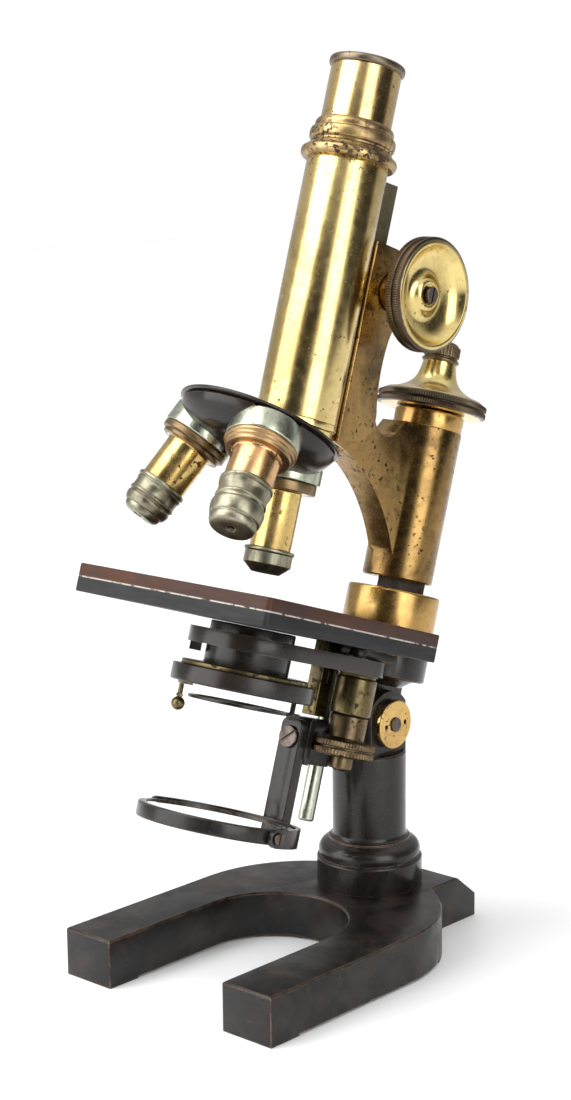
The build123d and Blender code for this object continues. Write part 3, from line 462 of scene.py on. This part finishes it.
# ------------------------------------------------------------------ the finishes
TUBE_BRASS = brass("tube_brass", (0.66, 0.51, 0.215), (0.40, 0.275, 0.095), (0.12, 0.06, 0.028),
                   gloss=(0.14, 0.23), clouds=0.75, freckles=0.64, dirt=0.5, ends=(100.0, 207.0, 18.0))
DRAW_BRASS = brass("draw_brass", (0.68, 0.50, 0.22), (0.44, 0.29, 0.12), (0.13, 0.07, 0.04),
                   gloss=(0.10, 0.20), clouds=0.6, freckles=0.63, ends=(216.0, 246.0, 8.0))
KNOB_BRASS = brass("knob_brass", (0.70, 0.55, 0.22), (0.40, 0.29, 0.105), (0.09, 0.055, 0.030),
                   gloss=(0.13, 0.24), clouds=0.7, freckles=0.64, dirt=1.0, rim=20.7)
COLLAR_BRASS = brass("collar_brass", (0.40, 0.28, 0.12), (0.17, 0.11, 0.062), (0.07, 0.045, 0.030),
                     gloss=(0.26, 0.40), clouds=1.0, freckles=0.50, dirt=1.0)
RIM_BRASS = brass("rim_brass", (0.17, 0.135, 0.095), (0.10, 0.08, 0.06), (0.04, 0.032, 0.024),
                  gloss=(0.28, 0.42), clouds=0.9, freckles=0.58, dirt=1.0)
ARM_BRONZE = brass("arm_bronze", (0.27, 0.165, 0.055), (0.095, 0.055, 0.020), (0.045, 0.026, 0.014),
                   gloss=(0.17, 0.28), clouds=1.0, freckles=0.60, dirt=0.7, turned_lines=0.0)
LIMB_BRASS = brass("limb_brass", (0.44, 0.27, 0.085), (0.24, 0.135, 0.045), (0.06, 0.034, 0.018),
                   gloss=(0.16, 0.27), clouds=0.8, freckles=0.64)
GILT_BRASS = brass("gilt_brass", (0.60, 0.39, 0.13), (0.36, 0.21, 0.07), (0.09, 0.045, 0.024),
                   gloss=(0.16, 0.28), clouds=0.7, freckles=0.62)
COPPER_BRASS = brass("copper_brass", (0.60, 0.36, 0.17), (0.38, 0.21, 0.09), (0.14, 0.07, 0.035),
                     gloss=(0.15, 0.27), clouds=0.6, freckles=0.62, rim=10.2, rim_tone=(0.36, 0.23, 0.11))
YELLOW_BRASS = brass("yellow_brass", (0.60, 0.43, 0.155), (0.33, 0.21, 0.07), (0.11, 0.056, 0.026),
                     gloss=(0.15, 0.27), clouds=0.6, freckles=0.58, rim=10.2, rim_tone=(0.20, 0.135, 0.065))
OLIVE_BRASS = brass("olive_brass", (0.15, 0.115, 0.050), (0.070, 0.054, 0.026), (0.030, 0.024, 0.017),
                    gloss=(0.24, 0.38), clouds=0.9, freckles=0.56)
SLIDE_BRASS = brass("slide_brass", (0.20, 0.17, 0.105), (0.13, 0.11, 0.075), (0.05, 0.04, 0.03),
                    gloss=(0.30, 0.42), clouds=0.8, freckles=0.70)
BROWN_KNURL = brass("brown_knurl", (0.15, 0.105, 0.055), (0.080, 0.055, 0.030), (0.03, 0.021, 0.014),
                    gloss=(0.28, 0.42), clouds=0.8, freckles=0.58)

FOOT_BLACK = japan("foot_black", black=(0.0045, 0.0038, 0.0036), brown=(0.022, 0.0145, 0.0115),
                   worn=(0.19, 0.115, 0.065), gloss=(0.26, 0.48), patches=0.95, wear=0.85, edge=1.0,
                   dust=0.05)
PILLAR_BLACK = japan("pillar_black", gloss=(0.18, 0.32), patches=0.35, wear=0.9, edge=0.6, dust=0.05)
FINE_BLACK = japan("fine_black", worn=(0.16, 0.085, 0.05), gloss=(0.14, 0.30), patches=0.3, wear=0.7,
                   edge=0.5, dust=0.05)
SUB_BLACK = japan("sub_black", gloss=(0.18, 0.34), patches=0.5, wear=0.8, edge=0.4, worn=(0.20, 0.13, 0.08),
                  dust=0.05)

STAGE_SEAM = 32.8
STAGE_BROWN = vulcanite("stage_brown", (0.062, 0.020, 0.008), (0.036, 0.016, 0.012), STAGE_SEAM)
STAGE_CHARCOAL = vulcanite("stage_charcoal", (0.0170, 0.0172, 0.0185), (0.0110, 0.0112, 0.0125), STAGE_SEAM)

SOCKET_NICKEL = nickel("socket_nickel", (0.46, 0.48, 0.38), (0.30, 0.32, 0.23), (0.13, 0.13, 0.09))
TIP_NICKEL = nickel("tip_nickel", (0.30, 0.285, 0.205), (0.17, 0.155, 0.105), (0.065, 0.055, 0.038),
                    gloss=(0.30, 0.44))
ROD_NICKEL = nickel("rod_nickel", (0.46, 0.47, 0.39), (0.30, 0.31, 0.23), (0.11, 0.11, 0.075))
STEEL = nickel("steel_parts", (0.13, 0.105, 0.090), (0.075, 0.058, 0.050), (0.030, 0.022, 0.018),
               gloss=(0.25, 0.4))
# Prism post: its steel colour is darkened to near black as painted shade, standing for the shadow between the
# arm's sleeve and the limb collar.
POST_PAINTED_SHADE = nickel("post_painted_shade", (0.022, 0.017, 0.014), (0.014, 0.011, 0.009), (0.010, 0.007, 0.005),
                    gloss=(0.30, 0.44))


def glass(name, tint, dusty):
    s = Shader(name, Transmission_Weight=1.0, IOR=1.52)
    film = s.step(s.noise(160, 4, 0.7), 0.5, 0.8)
    return s.finish(s.mix(s.math("MULTIPLY", film, dusty), tint, (0.7, 0.7, 0.66)),
                    s.step(film, 0.0, 1.0, 0.02, 0.14))


def silvered(name):
    s = Shader(name, Metallic=1.0, Coat_Weight=0.4, Coat_Roughness=0.03)
    film = s.step(s.noise(60, 5, 0.7), 0.5, 0.85)
    specks = s.step(s.noise(900, 2, 0.5), 0.70, 0.76)
    tone = s.mix(film, (0.93, 0.94, 0.94), (0.80, 0.82, 0.81))
    tone = s.mix(s.math("MULTIPLY", specks, 0.5), tone, (0.3, 0.28, 0.25))
    return s.finish(tone, s.step(film, 0.0, 1.0, 0.03, 0.12))


LENS = glass("lens_glass", (0.96, 0.98, 0.97), 0.3)
MIRROR = silvered("mirror_silver")


# ------------------------------------------------------------------ body tube and eyepiece
def body_tube():
    """Body tube with its collar and ring, draw tube and eyepiece, in mm up the optical axis."""
    turned("tube_fine", [
        (9.5, 100.6), (14.2, 100.6), (14.6, 101.0), (14.6, 104.2), (15.3, 104.5), (15.75, 105.0),
        (15.75, 107.2), (15.6, 107.35), (15.75, 107.5), (15.75, 207.0), (14.6, 207.0), (14.6, 106.0),
        (9.5, 106.0)],
        OPTIC, TUBE_BRASS, "body_tube", ["main_tube"], steps=192, ease=0.15)
    collar = [(13.75, 199.0), (14.55, 199.0), (14.55, 207.0), (17.0, 207.0)]
    collar += bow((17.0, 207.0), (18.6, 207.1), (18.7, 209.1))
    collar += bow((18.7, 209.1), (18.7, 210.5), (17.9, 210.9))
    collar += bow((17.9, 210.9), (17.0, 211.3), (16.1, 212.8)) + [(15.6, 213.2), (13.75, 213.2)]
    turned("collar_fine", collar, OPTIC, COLLAR_BRASS, "body_tube", ["tube_collar"],
           steps=160)
    ring = [(13.75, 213.2), (15.6, 213.2), (15.6, 214.0)]
    ring += bow((15.6, 214.0), (16.5, 214.3), (16.65, 215.2), 5)
    ring += bow((16.65, 215.2), (16.9, 218.0), (16.1, 218.6)) + [(15.3, 219.0), (15.3, 219.6)]
    ring += bow((15.3, 219.6), (15.6, 221.2), (14.6, 222.2)) + [(14.3, 222.6), (13.75, 222.6)]
    turned("ring_fine", ring, OPTIC, COLLAR_BRASS, "body_tube", ["tube_ring"], steps=160)
    turned("draw_tube_fine", [(12.95, 150.0), (13.7, 150.0), (13.7, 244.0), (12.95, 244.0)],
           OPTIC, DRAW_BRASS, "draw_tube", ["draw_tube"], steps=192, ease=0.12)
    shell = [(12.0, 214.0), (12.85, 214.0), (12.85, 244.0), (14.1, 244.0)]
    shell += bow((14.1, 244.0), (14.8, 244.1), (14.78, 245.4), 5)
    shell += bow((14.78, 245.4), (14.8, 246.9), (13.9, 247.1), 5) + [(12.4, 247.2)]
    shell += bow((12.4, 247.2), (9.0, 246.6), (6.4, 244.4)) + [(5.6, 243.6), (5.6, 241.6), (12.0, 241.6)]
    turned("eyepiece_fine", shell, OPTIC, RIM_BRASS, "eyepiece", ["eyepiece_shell"],
           steps=160)


# ------------------------------------------------------------------ knobs
def coarse_knobs():
    """Two dished knobs with a double knurled rim, one at each end of the pinion shaft."""
    face = 30.0
    low = face - 7.3
    path = [(0, 8.4), (7.4, 8.4), (7.4, 13.6)] + bow((7.4, 13.6), (6.6, 19.5), (10.8, 20.6))
    path += [(20.2, low - 0.2), (21.3, low + 0.2), (22.05, low + 0.5, 0.1), (22.2, low + 0.8, 0.28)]
    path += [(22.2, low + 2.9, 0.28)]
    path += [(22.0, low + 3.2, 0.1), (21.3, low + 3.4), (21.3, low + 3.7), (22.0, low + 3.9, 0.1)]
    path += [(22.2, low + 4.2, 0.28), (22.2, low + 6.2, 0.28), (21.9, low + 6.5, 0.1), (21.2, low + 6.7)]
    path += bow((21.2, low + 6.7), (20.9, face), (20.0, face), 4) + [(19.2, face - 0.05)]
    path += bow((19.2, face - 0.05), (16.4, face - 5.4), (9.9, face - 5.8), 10)
    path += bow((9.9, face - 5.8), (7.4, face - 5.4), (6.1, face - 3.1), 5)
    path += [(5.4, face - 2.7), (4.2, face - 2.7), (3.9, face - 3.3), (0, face - 3.3)]
    for name, node, side in (("coarse_knob_right_fine", "coarse_knob_right", ALONG_X),
                             ("coarse_knob_left_fine", "coarse_knob_left", ALONG_LESS_X)):
        turned(name, path, PINION @ side, KNOB_BRASS, "coarse_pinion", [node], closed=False,
               teeth=150, ease=0.12)


def fine_knob():
    """Flared knob with a double knurled rim, its knurled cap, and the bush under it."""
    low = 127.4
    path = [(0, low), (19.8, low), (21.4, low + 0.3), (22.1, low + 0.5, 0.1), (22.4, low + 0.8, 0.26)]
    path += [(22.4, low + 2.4, 0.26), (22.1, low + 2.6, 0.1), (21.5, low + 2.8), (21.5, low + 3.1)]
    path += [(22.1, low + 3.3, 0.1), (22.4, low + 3.5, 0.26), (22.4, low + 5.1, 0.26), (22.1, low + 5.3, 0.1)]
    path += [(21.2, low + 5.6), (20.5, 133.6), (19.6, 134.2)]
    path += bow((19.6, 134.2), (9.4, 136.6), (7.9, 142.6), 12)
    path += bow((7.9, 142.6), (7.0, 146.0), (6.9, 148.0), 4) + [(0, 148.0)]
    turned("fine_knob_fine", path, LIMB, KNOB_BRASS, "fine_knob", ["fine_knob"], closed=False,
           teeth=150, ease=0.12)
    cap = [(0, 148.0), (7.4, 148.0), (7.6, 148.3), (7.6, 149.0), (6.8, 149.6), (6.8, 150.0)]
    cap += [(7.3, 150.3, 0.1), (7.4, 150.6, 0.3), (7.4, 154.2, 0.3), (7.2, 154.6, 0.1), (6.5, 155.0)]
    cap += bow((6.5, 155.0), (6.0, 156.3), (3.6, 156.6), 5) + [(0, 156.7)]
    turned("fine_cap_fine", cap, LIMB, BROWN_KNURL, "fine_knob", ["fine_knob_cap"],
           closed=False, teeth=40, ease=0.1)
    bush = [(3.1, 117.0), (9.0, 117.0), (9.0, 120.0), (14.2, 120.0), (14.2, 126.4), (13.6, 127.0),
            (3.1, 127.0)]
    turned("arm_cap_fine", bush, LIMB, LIMB_BRASS, "arm", ["arm_cap"])


# ------------------------------------------------------------------ nosepiece and objectives
def nosepiece():
    """Fixed shield, revolving dome and the three sockets, each with its slit turned another way."""
    refined("nosepiece_shield", FINE_BLACK, "body_tube", 0.2, LIMB, 2)
    refined("nosepiece_dome", FINE_BLACK, "nosepiece", 0.25, LIMB, 2)
    socket = [(10.2, SOCKET_LOW), (13.6, SOCKET_LOW), (14.0, SOCKET_LOW + 0.45), (14.0, SOCKET_TOP),
              (8.6, SOCKET_TOP), (8.6, SOCKET_TOP - 1.6), (10.2, SOCKET_TOP - 1.6)]
    groups = []
    home = station(0)
    for k in range(3):
        local = home.inverted() @ station(k) @ Matrix.Rotation(math.radians(SOCKET_TURNS[k]), 4, "Z")
        verts, faces = lathe_data(socket, True, 300, 0.3, slit=0)
        groups.append((verts, faces, local))
    finish_mesh("sockets_fine", mesh_of("sockets_fine", groups), home, SOCKET_NICKEL, "nosepiece",
                ["nosepiece_sockets"], TURNED_SHARP)


def barrel(name, node, k, flange, body_r, low, material):
    """An objective's body: flange holds (radius, depth) of each ring below the socket."""
    path = [(6.6, BARREL_TOP), (10.15, BARREL_TOP), (10.15, SOCKET_LOW), (flange[0][0] - 0.3, SOCKET_LOW)]
    z = SOCKET_LOW
    for r, depth in flange:
        path += [(r, z - 0.3), (r, z - depth + 0.25), (r - 0.35, z - depth)]
        z -= depth
    path += [(body_r + 0.9, z)] + bow((body_r + 0.9, z), (body_r, z), (body_r, z - 1.0), 4)
    path += [(body_r, low), (6.6, low)]
    turned(name, path, station(k), material, "nosepiece", [node])


def tip(name, node, k, path):
    turned(name, path, station(k), TIP_NICKEL, "nosepiece", [node])


def objectives():
    """Three brass bodies and their nickel tips, drawn below the apex of the nosepiece."""
    barrel("objective_low_fine", "objective_low_barrel", 0, [(12.9, 4.0)],
           8.0, -110.6, YELLOW_BRASS)
    barrel("objective_high_fine", "objective_high_barrel", 2, [(13.9, 1.5), (13.2, 1.3), (12.4, 1.6)],
           9.2, -100.8, COPPER_BRASS)
    barrel("objective_mid_fine", "objective_mid_barrel", 1, [(13.6, 2.6), (12.2, 1.8)],
           8.9, -105.2, YELLOW_BRASS)
    tip("tip_low_fine", "objective_low_tip", 0, [
        (5.2, -110.6), (9.4, -110.6), (9.7, -111.0), (9.7, -111.8), (9.2, -112.2), (9.2, -116.6),
        (8.8, -117.0), (5.4, -120.0), (3.4, -120.0), (3.4, -114.0), (5.2, -113.0)])
    high = [(5.2, -100.8), (9.6, -100.8), (10.1, -101.3), (10.1, -102.2), (9.5, -102.6), (9.5, -103.0),
            (10.0, -103.3)]
    high += bow((10.0, -103.3), (9.5, -104.3), (9.4, -105.4), 4)
    high += [(9.4, -107.8), (9.7, -108.1), (9.7, -108.9), (9.1, -109.3), (9.1, -110.6)]
    high += bow((9.1, -110.6), (10.0, -110.8), (10.1, -111.6), 3) + [(10.1, -112.4)]
    high += bow((10.1, -112.4), (9.9, -115.0), (9.3, -116.2), 5)
    high += [(8.7, -116.5), (8.7, -117.0), (9.0, -117.3)]
    high += bow((9.0, -117.3), (8.8, -119.0), (8.1, -119.7), 4)
    high += [(7.4, -120.0), (2.0, -120.0), (2.0, -113.0), (5.2, -111.0)]
    tip("tip_high_fine", "objective_high_tip", 2, high)
    mid = [(5.2, -105.2), (9.5, -105.2), (9.9, -105.6), (9.9, -106.6), (9.3, -107.0), (9.3, -107.4),
           (9.7, -107.7)]
    mid += bow((9.7, -107.7), (9.2, -108.3), (9.1, -109.2), 4) + [(9.1, -111.6), (9.5, -111.9), (9.5, -112.7)]
    mid += [(8.8, -113.1), (8.8, -113.6), (9.2, -113.9), (9.2, -114.9)]
    mid += bow((9.2, -114.9), (8.9, -116.4), (8.2, -117.2), 4) + [(7.6, -117.4), (7.6, -117.8)]
    mid += bow((7.6, -117.8), (7.4, -119.0), (6.4, -119.6), 4)
    mid += [(5.8, -120.0), (2.6, -120.0), (2.6, -114.0), (5.2, -113.0)]
    tip("tip_mid_fine", "objective_mid_tip", 1, mid)


# ------------------------------------------------------------------ arm, limb, stage, stand
def castings():
    """Arm, rack slide, limb with its brass collar, the two layers of the stage, pillar and foot."""
    refined("arm", ARM_BRONZE, "arm", 0.45)
    refined("rack_slide", SLIDE_BRASS, "body_tube", 0.12, LIMB, 1)
    refined("limb", PILLAR_BLACK, "limb", 0.4, LIMB)
    turned("limb_collar_fine", [(0, 33.0), (18.9, 33.0), (18.9, 52.2), (18.3, 53.0), (0, 53.0)],
           LIMB, LIMB_BRASS, "limb", ["limb_collar"], closed=False)
    refined("stage_plate", STAGE_CHARCOAL, "limb", 0.3, LIMB)
    refined("stage_cover", STAGE_BROWN, "limb", 0.3, LIMB)
    refined("pillar", PILLAR_BLACK, "base", 0.35)
    refined("foot", FOOT_BLACK, "base", 0.7)


def hinge_nuts():
    refined("hinge_nuts", GILT_BRASS, "base", 0.12, shift(z=JOINT_Z), 2)


# ------------------------------------------------------------------ substage and mirror
def substage():
    """Condenser mount, iris and filter ring on the optical axis, and the quick screw beside them."""
    mount = [(11.8, 10.4), (16.4, 10.4), (16.4, 26.2), (16.0, 26.6), (10.6, 26.6), (10.6, 22.0), (11.8, 21.0)]
    turned("condenser_mount_fine", mount, OPTIC, SUB_BLACK, "substage", ["condenser_mount"])
    plate = [(11.8, 8.5), (24.4, 8.5), (24.4, 10.0), (24.0, 10.4), (11.8, 10.4)]
    turned("iris_plate_fine", plate, OPTIC, OLIVE_BRASS, "substage", ["iris_plate"])
    house = [(11.5, 1.9), (27.0, 1.9), (27.5, 2.4), (27.5, 8.2), (27.2, 8.5), (12.6, 8.5), (12.6, 5.1),
             (11.5, 4.3)]
    turned("iris_housing_fine", house, OPTIC, SUB_BLACK, "substage", ["iris_housing"])
    refined("substage_arm", SUB_BLACK, "substage", 0.35, LIMB)
    refined("filter_ring", SUB_BLACK, "filter_ring", 0.2, LIMB, 2)
    refined("iris_lever", OLIVE_BRASS, "iris_lever", 0.1, LIMB, 2)
    sheath = [(3.05, 0.6), (7.6, 0.6), (8.1, 1.2), (8.1, 15.2), (7.4, 15.7), (7.4, 16.4), (8.1, 16.8),
              (8.1, 17.2), (3.05, 17.2)]
    turned("screw_barrel_fine", sheath, QUICK_SCREW, OLIVE_BRASS, "substage",
           ["screw_barrel"])
    knob = [(3.0, -15.8), (10.8, -15.8), (11.8, -15.5), (12.2, -15.3, 0.1), (12.4, -15.0, 0.35)]
    knob += [(12.4, -13.2, 0.35)]
    knob += [(12.2, -13.0, 0.1), (11.6, -12.8), (11.6, -12.3), (12.2, -12.1, 0.1), (12.4, -11.8, 0.35)]
    knob += [(12.4, -10.1, 0.35), (12.2, -9.8, 0.1), (11.6, -9.5), (10.6, -9.2), (8.0, -8.9), (7.5, -8.4)]
    knob += [(7.5, 0.0), (7.1, 0.4), (3.0, 0.4)]
    turned("substage_knob_fine", knob, QUICK_SCREW, BROWN_KNURL, "substage_screw",
           ["substage_knob"], teeth=64, ease=0.1)
    nut = [(3.0, -20.8), (4.4, -20.8), (4.75, -20.4), (4.75, -16.2), (4.5, -15.8), (3.0, -15.8)]
    turned("lead_nut_fine", nut, QUICK_SCREW, BROWN_KNURL, "substage_screw", ["lead_screw_nut"],
           steps=96)
    screw = [(0, -21.6), (2.2, -21.6), (2.6, -21.2), (3.0, -20.8), (3.0, 31.0), (2.2, 31.8), (0, 31.8)]
    turned("lead_screw_fine", screw, QUICK_SCREW, STEEL, "substage_screw", ["lead_screw"],
           closed=False, steps=96)


def mirror():
    """Rod, carrier, bar, fork and ring of the mirror."""
    rod = [(0, -44.6), (2.6, -44.6), (3.25, -44.0), (3.25, 27.0), (0, 27.0)]
    turned("mirror_rod_fine", rod, LIMB @ shift(-6.0, -19.7), ROD_NICKEL, "limb", ["mirror_rod"],
           closed=False, steps=96)
    refined("substage_guide", OLIVE_BRASS, "limb", 0.2, LIMB, 2)
    refined("mirror_carrier", SUB_BLACK, "limb", 0.3, LIMB)
    refined("mirror_bar", SUB_BLACK, "mirror_bar", 0.25, LIMB)
    refined("mirror_bar_screw", STEEL, "mirror_bar", 0.1, LIMB, 2)
    refined("mirror_fork", SUB_BLACK, "mirror_fork", 0.25, LIMB)
    refined("fork_screws", STEEL, "mirror_fork", 0.1, LIMB, 2)
    refined("mirror_ring", SUB_BLACK, "mirror", 0.15, LIMB, 2)


# ------------------------------------------------------------------ build
body_tube()
coarse_knobs()
fine_knob()
nosepiece()
objectives()
castings()
hinge_nuts()
substage()
mirror()

CARRIED = {
    "coarse_knob_screws": STEEL, "condenser_lens": LENS, "eyepiece_lenses": LENS, "fine_spring": STEEL,
    "foot_screws": STEEL, "hinge_bolt": STEEL, "iris_leaves": STEEL, "micrometer_screw": STEEL,
    "mirror_glasses": MIRROR, "nosepiece_pivot": STEEL, "objective_lenses": LENS, "pinion": STEEL,
    # the prism post gets the near-black colour that paints its shade
    "prism_post": POST_PAINTED_SHADE, "stage_screws": STEEL,
}
for node, material in CARRIED.items():
    for slot in NODES[node].material_slots:
        slot.material = material


# ------------------------------------------------------------------ floor, light, camera
def floor():
    """A plain white floor, just under the foot."""
    s = Shader("floor_white", Specular_IOR_Level=0.25)
    grain = s.noise(30, 4, 0.6)
    s.finish(s.mix(grain, (0.90, 0.90, 0.905), (0.93, 0.93, 0.93)), s.step(grain, 0.3, 0.7, 0.42, 0.5))
    bm = bmesh.new()
    bmesh.ops.create_grid(bm, x_segments=24, y_segments=24, size=4.0)
    mesh = bpy.data.meshes.new("floor")
    bm.to_mesh(mesh)
    bm.free()
    obj = bpy.data.objects.new("floor", mesh)
    mesh.materials.append(s.material)
    bpy.context.scene.collection.objects.link(obj)
    obj.location = (0.0, 0.0, -0.0001)


def studio():
    """White room with two tall soft boxes and darker gaps between them."""
    world = bpy.data.worlds.new("studio")
    bpy.context.scene.world = world
    world.use_nodes = True
    tree = world.node_tree
    tree.nodes.clear()
    out = tree.nodes.new("ShaderNodeOutputWorld")

    def maths(operation, a, b=0.0):
        node = tree.nodes.new("ShaderNodeMath")
        node.operation = operation
        for socket, value in zip(node.inputs, (a, b)):
            if isinstance(value, bpy.types.NodeSocket):
                tree.links.new(value, socket)
            else:
                socket.default_value = value
        return node.outputs[0]

    def fade(value, low, high, a, b):
        node = tree.nodes.new("ShaderNodeMapRange")
        node.interpolation_type = "SMOOTHSTEP"
        tree.links.new(value, node.inputs["Value"])
        for key, number in zip(("From Min", "From Max", "To Min", "To Max"), (low, high, a, b)):
            node.inputs[key].default_value = number
        return node.outputs["Result"]

    way = tree.nodes.new("ShaderNodeSeparateXYZ")
    tree.links.new(tree.nodes.new("ShaderNodeTexCoord").outputs["Generated"], way.inputs[0])
    turn = maths("ARCTAN2", way.outputs["X"], maths("MULTIPLY", way.outputs["Y"], -1.0))

    def patch(centre, half, soft, low, high, soft_up):
        """Mask of a patch of sky: degrees round from -Y towards +X, sines of the height."""
        off = maths("ABSOLUTE", maths("SUBTRACT", turn, math.radians(centre)))
        across = fade(off, math.radians(half - soft), math.radians(half + soft), 1.0, 0.0)
        above = fade(way.outputs["Z"], low - soft_up, low + soft_up, 0.0, 1.0)
        below = fade(way.outputs["Z"], high - soft_up, high + soft_up, 1.0, 0.0)
        return maths("MULTIPLY", across, maths("MULTIPLY", above, below))

    light = fade(way.outputs["Z"], 0.40, 0.95, 0.58, 1.2)
    for centre, half, soft, low, high, soft_up, power in (
            (28.0, 22.0, 4.0, -0.8, 0.85, 0.12, -0.55),
            (122.0, 24.0, 5.0, -0.8, 0.80, 0.12, -0.53),
            (-26.0, 27.0, 4.0, -0.30, 0.70, 0.08, 3.3),
            (75.0, 17.0, 4.0, -0.30, 0.70, 0.08, 3.5)):
        light = maths("ADD", light, maths("MULTIPLY", patch(centre, half, soft, low, high, soft_up), power))
    seen = tree.nodes.new("ShaderNodeLightPath").outputs["Is Camera Ray"]
    blend = tree.nodes.new("ShaderNodeMix")
    blend.data_type = "FLOAT"
    tree.links.new(seen, blend.inputs[0])
    tree.links.new(maths("MAXIMUM", light, 0.04), blend.inputs[2])
    blend.inputs[3].default_value = 1.0
    glow = tree.nodes.new("ShaderNodeBackground")
    glow.inputs["Color"].default_value = (1.0, 1.0, 1.0, 1.0)
    tree.links.new(blend.outputs[0], glow.inputs["Strength"])
    tree.links.new(glow.outputs[0], out.inputs["Surface"])


def top_light():
    """A soft square light above and in front, aimed at the middle of the object."""
    place = Vector((-0.25, -0.5, 1.1))
    aim = Vector((0.0, -0.04, 0.15))
    data = bpy.data.lights.new("key_top", "AREA")
    data.shape = "RECTANGLE"
    data.size = 0.9
    data.size_y = 0.9
    data.energy = 9.0
    obj = bpy.data.objects.new("key_top", data)
    bpy.context.scene.collection.objects.link(obj)
    obj.location = place
    obj.rotation_euler = (aim - place).to_track_quat("-Z", "Y").to_euler()
    obj.visible_camera = False


def camera():
    """Looks from the front right, a little above, with a slight roll."""
    turn = math.radians(42.497)
    tilt = math.radians(11.002)
    roll = math.radians(-0.633)
    back = Vector((math.sin(turn) * math.cos(tilt), -math.cos(turn) * math.cos(tilt), math.sin(tilt)))
    right = Vector((math.cos(turn), math.sin(turn), 0.0))
    up = back.cross(right)
    side = right * math.cos(roll) + up * math.sin(roll)
    top = up * math.cos(roll) - right * math.sin(roll)
    data = bpy.data.cameras.new("camera")
    data.lens = 71.66
    data.sensor_width = 36.0
    data.clip_start = 0.05
    obj = bpy.data.objects.new("camera", data)
    bpy.context.scene.collection.objects.link(obj)
    pose = Matrix((side, top, back)).transposed().to_4x4()
    pose.translation = Vector((0.5553, -0.6550, 0.3244))
    obj.matrix_world = pose
    bpy.context.scene.camera = obj


floor()
studio()
top_light()
camera()
bpy.context.scene.view_settings.view_transform = "Standard"
